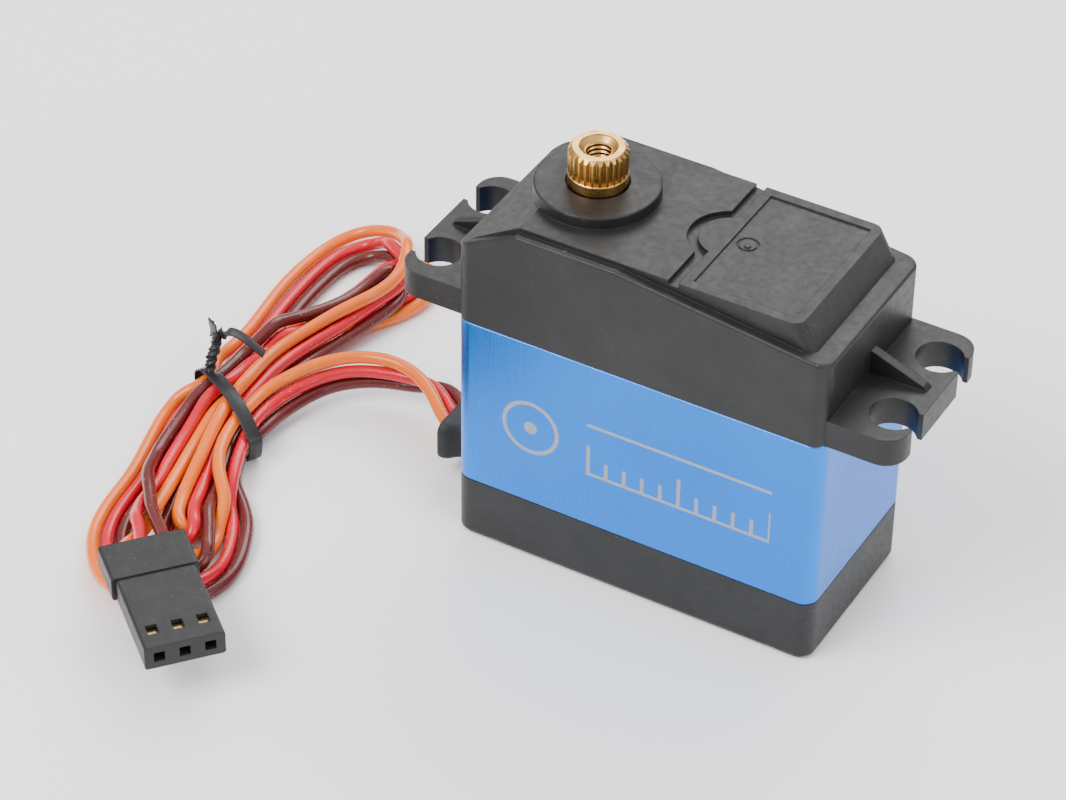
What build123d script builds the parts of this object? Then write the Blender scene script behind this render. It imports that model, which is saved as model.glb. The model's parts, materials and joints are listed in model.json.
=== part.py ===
from build123d import *
import math
import os

os.makedirs("parts", exist_ok=True)

# ---------------------------------------------------------------------------
# Standard-size digital hobby servo.  Millimetres, +Z up.
# Origin: on the output shaft axis, at the underside of the bottom cover.
# +X runs along the case towards the motor end.
# ---------------------------------------------------------------------------

# case
case_l, case_w = 40.0, 20.0          # plan size of the case
end_x = -10.0                        # end face nearest the output shaft
cx = end_x + case_l / 2              # plan centre of the case
corner_r = 1.6
z_mid0, z_mid1 = 7.2, 27.0           # aluminium centre case
wall = 1.4
edge_gap = 0.12                      # parting line chamfer on the centre case

# moulded top
ledge_z = 39.15                      # stepped rim round the raised top
top_z = 39.65                        # raised flat top
kink_x = -3.43                       # start of the bevel towards the shaft end
bevel_x, bevel_z = -8.6, 36.53       # where rim and raised top run together
end_z = 35.68                        # height of the shaft end
slope_x = 7.33                       # start of the fall of the rim
far_z = 36.53                        # height of the rim at the motor end
island_y = 8.96                      # half width of the raised top
block_x0, block_x1 = 26.41, 29.5     # sloping end of the raised block
ring_r, ring_z = 6.25, 40.95         # collar round the output shaft
groove_x0, groove_x1 = 12.59, 13.68
groove_disc_x, groove_r0, groove_r1 = 14.45, 3.12, 4.15
groove_depth = 0.5
panel_x0, panel_x1, panel_y, panel_depth = 14.70, 25.35, 7.9, 0.18

# mounting flanges
flange_l, flange_y = 54.5, 9.2
flange_z = 30.0
flange_r = 2.4
hole_r, mouth_w = 2.35, 2.4
hole_dx, hole_dy = 49.5, 10.0

# case screws
screw_x = (-7.4, 27.4)
screw_y = 7.4
screw_r, head_r, head_h = 1.0, 1.8, 1.3

# gear axes
pin_x = 10.0
motor_x = 19.6
alpha = math.radians(25.0)           # pressure angle
addendum, dedendum = 0.8, 1.05
backlash = 0.05
pin_r, spindle_r = 1.0, 1.25
run = 0.05                           # running clearance on the radius

# lead
wire_r = 0.68                        # insulation radius
wire_y, wire_z = 1.5, 4.2            # pitch and height where it leaves the case
boot_end = -16.0
plug_l, plug_w, plug_w2 = 15.85, 8.05, 8.9
plug_z0, plug_z1 = 4.6, 7.3
pitch = 2.54                         # contact pitch
tie_t, tie_w = 0.3, 1.4              # twist tie thickness and width

# gear widths (bottom, top)
g1_wheel, g1_pinion = (27.5, 28.7), (28.7, 30.3)
g2_wheel, g2_pinion = (28.9, 30.3), (30.3, 32.1)
g3_wheel, g3_pinion = (30.5, 32.1), (32.1, 35.0)
out_wheel = (32.4, 35.0)

# output shaft
journal_r = 3.0
spline_n, spline_ro, spline_ri = 25, 2.95, 2.62
collar_z, shaft_z = 42.15, 45.0
thread_r, thread_depth = 1.25, 8.0


def gear_points(n, m, x0, y0, phase, undersize=backlash / 2):
    """Closed outline of an involute gear with n teeth and module m."""
    rp = m * n / 2
    rb = rp * math.cos(alpha)
    ra = rp + addendum * m
    rr = rp - dedendum * m
    half = math.pi / (2 * n) - undersize / (2 * rp)
    inv_a = math.tan(alpha) - alpha
    r_low = max(rb, rr)
    steps = 5
    flank = []
    for i in range(steps + 1):
        r = r_low + (ra - r_low) * i / steps
        a = math.acos(min(1.0, rb / r))
        flank.append((r, half + inv_a - (math.tan(a) - a)))
    pts = []
    for k in range(n):
        c = math.radians(phase) + 2 * math.pi * k / n
        seq = []
        if rr < r_low - 1e-6:
            seq.append((rr, c - flank[0][1]))
        seq += [(r, c - t) for r, t in flank]
        seq += [(r, c + t) for r, t in reversed(flank)]
        if rr < r_low - 1e-6:
            seq.append((rr, c + flank[0][1]))
        pts += [(x0 + r * math.cos(t), y0 + r * math.sin(t)) for r, t in seq]
    return pts


def save(piece, name, rgb):
    piece.part.label = name
    piece.part.color = Color(*rgb)
    export_step(piece.part, "parts/" + name + ".step")


BLACK = (0.10, 0.10, 0.11)
BLUE = (0.12, 0.45, 0.85)
BRASS = (0.80, 0.62, 0.25)
STEEL = (0.70, 0.70, 0.72)

# ---------------------------------------------------------------------------
# top case
# ---------------------------------------------------------------------------
with BuildPart() as island:
    with BuildSketch(Plane.XZ):
        with BuildLine():
            Polyline(
                (bevel_x, 34.0),
                (bevel_x, bevel_z),
                (kink_x, top_z),
                (block_x0, top_z),
                (block_x1, 34.0),
                close=True,
            )
        make_face()
    extrude(amount=island_y, both=True)
    slanted = [
        e
        for e in island.edges()
        if e.center().X > 27 and abs(abs(e.center().Y) - island_y) < 0.01
        and e.center().Z > 35 and abs((e @ 1).Z - (e @ 0).Z) > 3
    ]
    fillet(slanted, 1.1)

with BuildPart() as top_case:
    with BuildSketch(Plane.XY.offset(z_mid1)):
        with Locations((cx, 0)):
            RectangleRounded(case_l, case_w, corner_r)
    extrude(amount=top_z - z_mid1)
    with BuildSketch(Plane.XZ):
        with BuildLine():
            Polyline(
                (end_x - 1, z_mid1),
                (end_x - 1, end_z - 0.6),
                (bevel_x, bevel_z - 0.02),
                (kink_x, ledge_z),
                (slope_x, ledge_z),
                (end_x + case_l + 1, far_z - 0.12),
                (end_x + case_l + 1, z_mid1),
                close=True,
            )
        make_face()
    extrude(amount=case_w, both=True, mode=Mode.INTERSECT)
    rim = [
        e
        for e in top_case.edges()
        if e.center().Z > 35
        and (
            abs(abs(e.center().Y) - case_w / 2) < 0.9
            or abs(abs(e.center().X - cx) - case_l / 2) < 0.9
        )
        and not (abs((e @ 1).X - (e @ 0).X) < 0.01 and abs((e @ 1).Y - (e @ 0).Y) < 0.01)
    ]
    fillet(rim, 0.35)
    add(island.part)
    # collar round the shaft, running down onto the bevel on its outer side
    with BuildSketch(Plane.XY.offset(36.6)):
        Circle(ring_r)
    extrude(amount=ring_z - 36.6)
    collar_rim = [
        e
        for e in top_case.edges()
        if abs(e.center().Z - ring_z) < 0.01
    ]
    fillet(collar_rim, 0.2)
    # Omega-shaped groove
    with BuildSketch(Plane.XY.offset(top_z - groove_depth)):
        with Locations((groove_disc_x, 0)):
            Circle(groove_r1)
        with Locations((groove_x1 + 5, 0)):
            Rectangle(10, 12, mode=Mode.SUBTRACT)
        with Locations(((groove_x0 + groove_x1) / 2, 0)):
            Rectangle(groove_x1 - groove_x0, case_w)
        with Locations((groove_disc_x, 0)):
            Circle(groove_r0, mode=Mode.SUBTRACT)
    extrude(amount=2, mode=Mode.SUBTRACT)
    # shallow panel and moulding mark
    with BuildSketch(Plane.XY.offset(top_z - panel_depth)):
        with Locations(((panel_x0 + panel_x1) / 2, 0)):
            Rectangle(panel_x1 - panel_x0, 2 * panel_y)
    extrude(amount=1, mode=Mode.SUBTRACT)
    with BuildSketch(Plane.XY.offset(top_z - panel_depth - 0.12)):
        with Locations((16.3, 0)):
            Circle(1.1)
            Circle(0.88, mode=Mode.SUBTRACT)
    extrude(amount=1, mode=Mode.SUBTRACT)
    with BuildSketch(Plane.XY.offset(top_z - panel_depth - 0.2)):
        with Locations((16.42, -0.28)):
            Circle(0.32)
    extrude(amount=0.34)
    # flanges with open-mouthed slots
    with BuildSketch(Plane.XY.offset(z_mid1)):
        with Locations((cx, 0)):
            RectangleRounded(flange_l, 2 * flange_y, flange_r)
        with Locations((cx, 0)):
            with GridLocations(hole_dx, hole_dy, 2, 2):
                Circle(hole_r, mode=Mode.SUBTRACT)
            with GridLocations(hole_dx + 4.0, hole_dy, 2, 2):
                Rectangle(4.0, mouth_w, mode=Mode.SUBTRACT)
    extrude(amount=flange_z - z_mid1)
    # gusset ribs
    for side in (1, -1):
        with BuildSketch(Plane.XZ.offset(-0.5)):
            with BuildLine():
                Polyline(
                    (cx + side * (case_l / 2 - 0.5), flange_z - 0.5),
                    (cx + side * (case_l / 2 - 0.5), flange_z + 2.75),
                    (cx + side * (case_l / 2 + 5.6), flange_z + 0.45),
                    (cx + side * (case_l / 2 + 6.0), flange_z + 0.05),
                    (cx + side * (case_l / 2 + 6.0), flange_z - 0.5),
                    close=True,
                )
            make_face()
        extrude(amount=1.0)
    # gear chamber
    with BuildSketch(Plane.XY.offset(z_mid1)):
        with Locations((cx, 0)):
            RectangleRounded(case_l - 2 * wall, case_w - 2 * wall, 1.0)
    extrude(amount=35.2 - z_mid1, mode=Mode.SUBTRACT)
    with BuildSketch(Plane.XZ):
        with BuildLine():
            Polyline(
                (-7.4, 35.0),
                (-7.4, 35.6),
                (-3.7, 38.35),
                (25.0, 38.35),
                (26.5, 35.5),
                (26.5, 35.0),
                close=True,
            )
        make_face()
    extrude(amount=7.6, both=True, mode=Mode.SUBTRACT)
    # screw pillars
    with BuildSketch(Plane.XY.offset(z_mid1)):
        with Locations(*[(x, y) for x in screw_x for y in (-screw_y, screw_y)]):
            Circle(2.0)
    extrude(amount=35.4 - z_mid1)
    with BuildSketch(Plane.XY.offset(z_mid1)):
        with Locations(*[(x, y) for x in screw_x for y in (-screw_y, screw_y)]):
            Circle(screw_r + 0.02)
    extrude(amount=7.0, mode=Mode.SUBTRACT)
    # bearing housing and shaft bore
    with BuildSketch(Plane.XY.offset(36.95)):
        Circle(ring_r - 0.1)
    extrude(amount=2.0)
    with BuildSketch(Plane.XY.offset(36.0)):
        Circle(5.02)
    extrude(amount=4.0, mode=Mode.SUBTRACT)
    with BuildSketch(Plane.XY.offset(39.0)):
        Circle(journal_r + 0.15)
    extrude(amount=3.0, mode=Mode.SUBTRACT)
    # socket for the upper end of the gear pin
    with BuildSketch(Plane.XY.offset(36.3)):
        with Locations((pin_x, 0)):
            Circle(2.2)
    extrude(amount=2.5)
    with BuildSketch(Plane.XY.offset(36.0)):
        with Locations((pin_x, 0)):
            Circle(pin_r + 0.015)
    extrude(amount=2.2, mode=Mode.SUBTRACT)
save(top_case, "top_case", BLACK)

# ---------------------------------------------------------------------------
# centre case
# ---------------------------------------------------------------------------
with BuildPart() as mid_case:
    with BuildSketch(Plane.XY.offset(z_mid0)):
        with Locations((cx, 0)):
            RectangleRounded(case_l, case_w, corner_r)
    extrude(amount=z_mid1 - z_mid0)
    chamfer(
        mid_case.faces().sort_by(Axis.Z)[-1].edges()
        + mid_case.faces().sort_by(Axis.Z)[0].edges(),
        edge_gap,
    )
    with BuildSketch(Plane.XY.offset(z_mid0)):
        with Locations((cx, 0)):
            RectangleRounded(case_l - 2 * wall, case_w - 2 * wall, 1.0)
        with Locations(*[(x, y) for x in screw_x for y in (-screw_y, screw_y)]):
            Circle(2.0, mode=Mode.SUBTRACT)
    extrude(amount=24.6 - z_mid0, mode=Mode.SUBTRACT)
    with BuildSketch(Plane.XY.offset(z_mid0 - 1)):
        with Locations(*[(x, y) for x in screw_x for y in (-screw_y, screw_y)]):
            Circle(screw_r + 0.1)
    extrude(amount=30, mode=Mode.SUBTRACT)
    # motor register and its two screws
    with BuildSketch(Plane.XY.offset(24.0)):
        with Locations((motor_x, 0)):
            Circle(3.05)
        with Locations((motor_x, 5.2), (motor_x, -5.2)):
            Circle(0.9)
    extrude(amount=4, mode=Mode.SUBTRACT)
    with BuildSketch(Plane.XY.offset(26.0)):
        with Locations((motor_x, 5.2), (motor_x, -5.2)):
            Circle(1.65)
    extrude(amount=2, mode=Mode.SUBTRACT)
    # lower bearing seat
    with BuildSketch(Plane.XY.offset(25.2)):
        Circle(3.01)
    extrude(amount=2, mode=Mode.SUBTRACT)
    with BuildSketch(Plane.XY.offset(24.0)):
        Circle(2.2)
    extrude(amount=2, mode=Mode.SUBTRACT)
    # gear pin hole
    with BuildSketch(Plane.XY.offset(24.0)):
        with Locations((pin_x, 0)):
            Circle(pin_r + 0.015)
    extrude(amount=4, mode=Mode.SUBTRACT)
save(mid_case, "mid_case", BLUE)

# ---------------------------------------------------------------------------
# bottom cover
# ---------------------------------------------------------------------------
foot = 0.45                          # depth of the recesses beside the screw bosses
with BuildPart() as bottom_cover:
    with BuildSketch():
        with Locations((cx, 0)):
            RectangleRounded(case_l, case_w, corner_r)
    extrude(amount=z_mid0)
    fillet(bottom_cover.faces().sort_by(Axis.Z)[0].edges(), 0.75)
    # recess between the floor plate and the corner bosses
    with BuildSketch(Plane.XY.offset(-1)):
        with Locations((end_x + 2, 0), (end_x + case_l - 1.8, 0)):
            Rectangle(6.4, case_w + 2)
        with Locations(*[(x, y) for x in screw_x for y in (-screw_y, screw_y)]):
            Circle(2.55, mode=Mode.SUBTRACT)
    extrude(amount=1 + foot, mode=Mode.SUBTRACT)
    with BuildSketch(Plane.XY.offset(1.6)):
        with Locations((cx, 0)):
            RectangleRounded(case_l - 2 * wall, case_w - 2 * wall, 1.0)
        with Locations(*[(x, y) for x in screw_x for y in (-screw_y, screw_y)]):
            Circle(2.5, mode=Mode.SUBTRACT)
    extrude(amount=8, mode=Mode.SUBTRACT)
    with BuildSketch(Plane.XY.offset(-1)):
        with Locations(*[(x, y) for x in screw_x for y in (-screw_y, screw_y)]):
            Circle(screw_r + 0.1)
    extrude(amount=10, mode=Mode.SUBTRACT)
    with BuildSketch(Plane.XY.offset(-1)):
        with Locations(*[(x, y) for x in screw_x for y in (-screw_y, screw_y)]):
            Circle(head_r + 0.15)
    extrude(amount=3.0, mode=Mode.SUBTRACT)
    # slot for the cable boot
    with BuildSketch(Plane.YZ.offset(end_x - 1)):
        with Locations((0, 5.0)):
            Rectangle(5.4, 6.0)
    extrude(amount=1 + wall + 0.5, mode=Mode.SUBTRACT)
save(bottom_cover, "bottom_cover", BLACK)

# ---------------------------------------------------------------------------
# case screws, entering from below
# ---------------------------------------------------------------------------
with BuildPart() as case_screws:
    with BuildSketch(Plane.XY.offset(1.98)):
        with Locations(*[(x, y) for x in screw_x for y in (-screw_y, screw_y)]):
            Circle(screw_r)
    extrude(amount=31.3)
    chamfer(case_screws.faces().sort_by(Axis.Z)[-4:].edges(), 0.3)
    with BuildSketch(Plane.XY.offset(1.98)):
        with Locations(*[(x, y) for x in screw_x for y in (-screw_y, screw_y)]):
            Circle(head_r)
    extrude(amount=-head_h)
    heads = [
        e
        for e in case_screws.edges()
        if abs(e.center().Z - (1.98 - head_h)) < 0.01
    ]
    fillet(heads, 0.35)
    with BuildSketch(Plane.XY.offset(1.98 - head_h)):
        with Locations(*[(x, y) for x in screw_x for y in (-screw_y, screw_y)]):
            Rectangle(2.4, 0.5)
            Rectangle(0.5, 2.4)
    extrude(amount=0.8, mode=Mode.SUBTRACT)
save(case_screws, "case_screws", STEEL)

# ---------------------------------------------------------------------------
# output gear with splined shaft
# ---------------------------------------------------------------------------
spline_pts = []
for k in range(spline_n):
    a = 2 * math.pi * k / spline_n
    step = 2 * math.pi / spline_n
    for r, f in (
        (spline_ri, -0.42),
        (spline_ro - 0.06, -0.21),
        (spline_ro, -0.12),
        (spline_ro, 0.12),
        (spline_ro - 0.06, 0.21),
        (spline_ri, 0.42),
    ):
        spline_pts.append((r * math.cos(a + f * step), r * math.sin(a + f * step)))

with BuildPart() as output_gear:
    with BuildSketch(Plane.XY.offset(out_wheel[0])):
        with BuildLine():
            Polyline(*gear_points(30, 0.5, 0, 0, 0), close=True)
        make_face()
    extrude(amount=out_wheel[1] - out_wheel[0])
    with BuildSketch(Plane.XY.offset(35.0)):
        Circle(4.6)
    extrude(amount=1.85)
    with BuildSketch(Plane.XY.offset(36.0)):
        Circle(journal_r)
    extrude(amount=collar_z - 36.0)
    chamfer(output_gear.edges().filter_by(GeomType.CIRCLE).sort_by(Axis.Z)[-1], 0.1)
    with BuildSketch(Plane.XY.offset(collar_z - 0.3)):
        with BuildLine():
            Polyline(*spline_pts, close=True)
        make_face()
    extrude(amount=shaft_z - collar_z + 0.3)
    # bevelled tips of the spline teeth
    with BuildSketch(Plane.XZ):
        with BuildLine():
            Polyline(
                (2.55, shaft_z + 0.1),
                (2.55, shaft_z),
                (3.10, shaft_z - 0.6),
                (3.6, shaft_z - 0.6),
                (3.6, shaft_z + 0.1),
                close=True,
            )
        make_face()
    revolve(axis=Axis.Z, mode=Mode.SUBTRACT)
    # screw thread core with its lead-in
    with BuildSketch(Plane.XZ):
        with BuildLine():
            Polyline(
                (0, shaft_z - thread_depth),
                (thread_r, shaft_z - thread_depth),
                (thread_r, shaft_z - 0.62),
                (1.9, shaft_z - 0.12),
                (1.9, shaft_z + 1),
                (0, shaft_z + 1),
                close=True,
            )
        make_face()
    revolve(axis=Axis.Z, mode=Mode.SUBTRACT)
    # socket for the flatted sensor spindle, and a counterbore for the gear below
    with BuildSketch(Plane.XY.offset(out_wheel[0] - 1)):
        Circle(spindle_r + 0.02)
        with Locations((spindle_r + 0.62, 0)):
            Rectangle(2, 4, mode=Mode.SUBTRACT)
    extrude(amount=3.2, mode=Mode.SUBTRACT)
save(output_gear, "output_gear", BRASS)

# ---------------------------------------------------------------------------
# bearings
# ---------------------------------------------------------------------------
with BuildPart() as output_bearing_top:
    with BuildSketch(Plane.XZ):
        with BuildLine():
            Polyline(
                (journal_r + 0.03, 37.0),
                (3.6, 37.0),
                (3.6, 37.2),
                (4.4, 37.2),
                (4.4, 37.0),
                (5.0, 37.0),
                (5.0, 39.98),
                (4.4, 39.98),
                (4.4, 39.78),
                (3.6, 39.78),
                (3.6, 39.98),
                (journal_r + 0.03, 39.98),
                close=True,
            )
        make_face()
    revolve(axis=Axis.Z)
save(output_bearing_top, "output_bearing_top", STEEL)

with BuildPart() as output_bearing_lower:
    with BuildSketch(Plane.XZ):
        with BuildLine():
            Polyline(
                (spindle_r + 0.03, 25.22),
                (1.7, 25.22),
                (1.7, 25.35),
                (2.4, 25.35),
                (2.4, 25.22),
                (3.0, 25.22),
                (3.0, 27.0),
                (2.4, 27.0),
                (2.4, 26.87),
                (1.7, 26.87),
                (1.7, 27.0),
                (spindle_r + 0.03, 27.0),
                close=True,
            )
        make_face()
    revolve(axis=Axis.Z)
save(output_bearing_lower, "output_bearing_lower", STEEL)

# ---------------------------------------------------------------------------
# compound gears
# ---------------------------------------------------------------------------
with BuildPart() as compound_gear_1:
    with BuildSketch(Plane.XY.offset(g1_wheel[0])):
        with BuildLine():
            Polyline(*gear_points(54, 0.3, pin_x, 0, 0), close=True)
        make_face()
    extrude(amount=g1_wheel[1] - g1_wheel[0])
    with BuildSketch(Plane.XY.offset(g1_pinion[0])):
        with BuildLine():
            Polyline(*gear_points(12, 0.4, pin_x, 0, 15), close=True)
        make_face()
    extrude(amount=g1_pinion[1] - g1_pinion[0])
    with BuildSketch(Plane.XY.offset(20)):
        with Locations((pin_x, 0)):
            Circle(pin_r + run)
    extrude(amount=20, mode=Mode.SUBTRACT)
save(compound_gear_1, "compound_gear_1", BRASS)

with BuildPart() as compound_gear_2:
    with BuildSketch(Plane.XY.offset(g2_wheel[0])):
        with BuildLine():
            Polyline(*gear_points(38, 0.4, 0, 0, 0), close=True)
        make_face()
    extrude(amount=g2_wheel[1] - g2_wheel[0])
    with BuildSketch(Plane.XY.offset(g2_pinion[0])):
        with BuildLine():
            Polyline(*gear_points(12, 0.4, 0, 0, 15), close=True)
        make_face()
    extrude(amount=g2_pinion[1] - g2_pinion[0])
    with BuildSketch(Plane.XY.offset(20)):
        Circle(spindle_r + run)
    extrude(amount=20, mode=Mode.SUBTRACT)
save(compound_gear_2, "compound_gear_2", STEEL)

with BuildPart() as compound_gear_3:
    with BuildSketch(Plane.XY.offset(g3_wheel[0])):
        with BuildLine():
            Polyline(*gear_points(38, 0.4, pin_x, 0, 0), close=True)
        make_face()
    extrude(amount=g3_wheel[1] - g3_wheel[0])
    with BuildSketch(Plane.XY.offset(g3_pinion[0])):
        with BuildLine():
            Polyline(*gear_points(10, 0.5, pin_x, 0, 18), close=True)
        make_face()
    extrude(amount=g3_pinion[1] - g3_pinion[0])
    with BuildSketch(Plane.XY.offset(20)):
        with Locations((pin_x, 0)):
            Circle(pin_r + run)
    extrude(amount=20, mode=Mode.SUBTRACT)
save(compound_gear_3, "compound_gear_3", BRASS)

with BuildPart() as mid_pin:
    with BuildSketch(Plane.XY.offset(24.7)):
        with Locations((pin_x, 0)):
            Circle(pin_r)
    extrude(amount=13.4)
    chamfer(mid_pin.edges().filter_by(GeomType.CIRCLE), 0.2)
save(mid_pin, "mid_pin", STEEL)

# ---------------------------------------------------------------------------
# motor
# ---------------------------------------------------------------------------
with BuildPart() as motor_can:
    with BuildSketch(Plane.XY.offset(7.6)):
        with Locations((motor_x, 0)):
            Circle(8.0)
    extrude(amount=24.55 - 7.6)
    fillet(motor_can.edges().sort_by(Axis.Z)[-1], 0.6)
    with BuildSketch(Plane.XY.offset(24.55)):
        with Locations((motor_x, 0)):
            Circle(3.0)
    extrude(amount=1.6)
    with BuildSketch(Plane.XY.offset(7)):
        with Locations((motor_x, 0)):
            Circle(7.2)
    extrude(amount=16.6, mode=Mode.SUBTRACT)
    with BuildSketch(Plane.XY.offset(20)):
        with Locations((motor_x, 0)):
            Circle(0.75 + 0.05)
    extrude(amount=8, mode=Mode.SUBTRACT)
    with BuildSketch(Plane.XY.offset(20)):
        with Locations((motor_x, 5.2), (motor_x, -5.2)):
            Circle(0.82)
    extrude(amount=8, mode=Mode.SUBTRACT)
save(motor_can, "motor_can", STEEL)

with BuildPart() as motor_endbell:
    with BuildSketch(Plane.XY.offset(6.6)):
        with Locations((motor_x, 0)):
            Circle(7.9)
    extrude(amount=0.98)
    with BuildSketch(Plane.XY.offset(7.58)):
        with Locations((motor_x, 0)):
            Circle(7.15)
    extrude(amount=1.6)
    with BuildSketch(Plane.XY.offset(7.6)):
        with Locations((motor_x, 0)):
            Circle(0.75 + 0.05)
    extrude(amount=4, mode=Mode.SUBTRACT)
    with BuildSketch(Plane.XY.offset(6)):
        with Locations((motor_x, 4.5), (motor_x, -4.5)):
            Rectangle(2.2, 0.6)
    extrude(amount=4, mode=Mode.SUBTRACT)
save(motor_endbell, "motor_endbell", BLACK)

with BuildPart() as motor_armature:
    with BuildSketch(Plane.XY.offset(7.7)):
        with Locations((motor_x, 0)):
            Circle(0.75)
    extrude(amount=21.5)
    with BuildSketch(Plane.XY.offset(11.6)):
        with Locations((motor_x, 0)):
            Circle(5.6)
            with PolarLocations(4.4, 3, 90):
                Rectangle(2.9, 0.9, mode=Mode.SUBTRACT)
    extrude(amount=9.4)
    with BuildSketch(Plane.XY.offset(9.6)):
        with Locations((motor_x, 0)):
            Circle(2.3)
    extrude(amount=2.0)
save(motor_armature, "motor_armature", STEEL)

with BuildPart() as motor_pinion:
    with BuildSketch(Plane.XY.offset(27.35)):
        with BuildLine():
            Polyline(*gear_points(10, 0.3, motor_x, 0, 18), close=True)
        make_face()
        with Locations((motor_x, 0)):
            Circle(0.76, mode=Mode.SUBTRACT)
    extrude(amount=1.6)
save(motor_pinion, "motor_pinion", BRASS)

with BuildPart() as motor_screws:
    with BuildSketch(Plane.XY.offset(23.8)):
        with Locations((motor_x, 5.2), (motor_x, -5.2)):
            Circle(0.8)
    extrude(amount=2.25)
    with BuildSketch(Plane.XY.offset(26.05)):
        with Locations((motor_x, 5.2), (motor_x, -5.2)):
            Circle(1.5)
    extrude(amount=0.9)
    with BuildSketch(Plane.XY.offset(26.95)):
        with Locations((motor_x, 5.2), (motor_x, -5.2)):
            Rectangle(2.0, 0.4)
            Rectangle(0.4, 2.0)
    extrude(amount=-0.5, mode=Mode.SUBTRACT)
save(motor_screws, "motor_screws", STEEL)

with BuildPart() as motor_terminals:
    with BuildSketch(Plane.XY.offset(5.6)):
        with Locations((motor_x, 4.5), (motor_x, -4.5)):
            Rectangle(2.0, 0.4)
    extrude(amount=3.2)
save(motor_terminals, "motor_terminals", BRASS)

# ---------------------------------------------------------------------------
# position sensor
# ---------------------------------------------------------------------------
with BuildPart() as pot_body:
    with BuildSketch(Plane.XY.offset(14.0)):
        RectangleRounded(11.0, 10.0, 1.0)
    extrude(amount=6.0)
    with BuildSketch(Plane.XY.offset(20.0)):
        Circle(3.2)
    extrude(amount=4.5)
    with BuildSketch(Plane.XY.offset(15.0)):
        Circle(spindle_r + run)
    extrude(amount=12, mode=Mode.SUBTRACT)
save(pot_body, "pot_body", BLUE)

with BuildPart() as pot_shaft:
    with BuildSketch(Plane.XY.offset(15.2)):
        Circle(spindle_r)
    extrude(amount=17.05)
    with BuildSketch(Plane.XY.offset(32.25)):
        Circle(spindle_r)
        with Locations((spindle_r + 0.60, 0)):
            Rectangle(2, 4, mode=Mode.SUBTRACT)
    extrude(amount=2.1)
save(pot_shaft, "pot_shaft", STEEL)

with BuildPart() as pot_terminals:
    with BuildSketch(Plane.XY.offset(5.6)):
        with Locations((0, -2.5), (0, 0), (0, 2.5)):
            Rectangle(0.8, 0.4)
    extrude(amount=8.38)
save(pot_terminals, "pot_terminals", STEEL)

# ---------------------------------------------------------------------------
# electronics
# ---------------------------------------------------------------------------
with BuildPart() as circuit_board:
    with BuildSketch(Plane.XY.offset(4.6)):
        with Locations((cx + 0.5, 0)):
            RectangleRounded(33.0, 16.4, 0.5)
        with Locations(*[(x, y) for x in screw_x for y in (-screw_y, screw_y)]):
            Circle(2.8, mode=Mode.SUBTRACT)
    extrude(amount=0.98)
save(circuit_board, "circuit_board", (0.05, 0.30, 0.12))

with BuildPart() as driver_chip:
    with BuildSketch(Plane.XY.offset(4.58)):
        with Locations((9.0, 0)):
            Rectangle(7.0, 7.0)
    extrude(amount=-1.2)
save(driver_chip, "driver_chip", BLACK)

with BuildPart() as board_passives:
    with BuildSketch(Plane.XY.offset(4.58)):
        with Locations(
            (2.5, 4.0), (2.5, 1.5), (2.5, -1.5), (2.5, -4.0),
            (15.0, 5.0), (15.0, -5.0), (18.0, 5.0), (18.0, -5.0),
        ):
            Rectangle(1.6, 0.8)
    extrude(amount=-0.7)
    with BuildSketch(Plane.XY.offset(4.58)):
        with Locations((20.5, 0)):
            Rectangle(4.4, 5.4)
    extrude(amount=-1.6)
save(board_passives, "board_passives", (0.35, 0.28, 0.20))

# ---------------------------------------------------------------------------
# lead
# ---------------------------------------------------------------------------
with BuildPart() as strain_relief:
    # inner flange, neck through the cover and outer collar
    with BuildSketch(Plane.YZ.offset(-8.5)):
        with Locations((0, 4.6)):
            RectangleRounded(6.4, 5.0, 0.6)
    extrude(amount=0.7)
    with BuildSketch(Plane.YZ.offset(-10.05)):
        with Locations((0, 4.6)):
            RectangleRounded(5.24, 5.1, 0.5)
    extrude(amount=1.55)
    with BuildSketch(Plane.YZ.offset(-11.0)):
        with Locations((0, 4.5)):
            RectangleRounded(6.2, 5.2, 0.8)
    extrude(amount=0.95)
    # tapered sleeve, its rib and the flared mouth
    with BuildSketch(Plane.YZ.offset(-11.0)):
        with Locations((0, 4.3)):
            RectangleRounded(5.5, 4.5, 0.9)
    with BuildSketch(Plane.YZ.offset(-13.6)):
        with Locations((0, 4.2)):
            RectangleRounded(5.3, 3.9, 0.9)
    loft()
    with BuildSketch(Plane.YZ.offset(-12.5)):
        with Locations((0, 4.25)):
            RectangleRounded(5.9, 4.7, 0.9)
    extrude(amount=0.5)
    with BuildSketch(Plane.YZ.offset(-13.6)):
        with Locations((0, 4.2)):
            RectangleRounded(5.3, 3.9, 0.9)
    with BuildSketch(Plane.YZ.offset(-15.3)):
        with Locations((0, 4.2)):
            RectangleRounded(7.5, 4.6, 1.1)
    loft()
    with BuildSketch(Plane.YZ.offset(boot_end)):
        with Locations((0, 4.2)):
            RectangleRounded(7.5, 4.6, 1.1)
    extrude(amount=0.7)
    # passage for the three conductors
    with BuildSketch(Plane.YZ.offset(boot_end - 0.5)):
        with Locations((0, wire_z)):
            SlotCenterToCenter(2 * wire_y, 2 * wire_r + 0.1)
    extrude(amount=9.5, mode=Mode.SUBTRACT)
    with BuildSketch(Plane.YZ.offset(-14.2)):
        with Locations((0, wire_z)):
            RectangleRounded(4.6, 1.8, 0.8)
    with BuildSketch(Plane.YZ.offset(boot_end - 0.3)):
        with Locations((0, wire_z)):
            RectangleRounded(7.0, 3.0, 0.8)
    loft(mode=Mode.SUBTRACT)
save(strain_relief, "strain_relief", (0.05, 0.05, 0.05))

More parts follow.
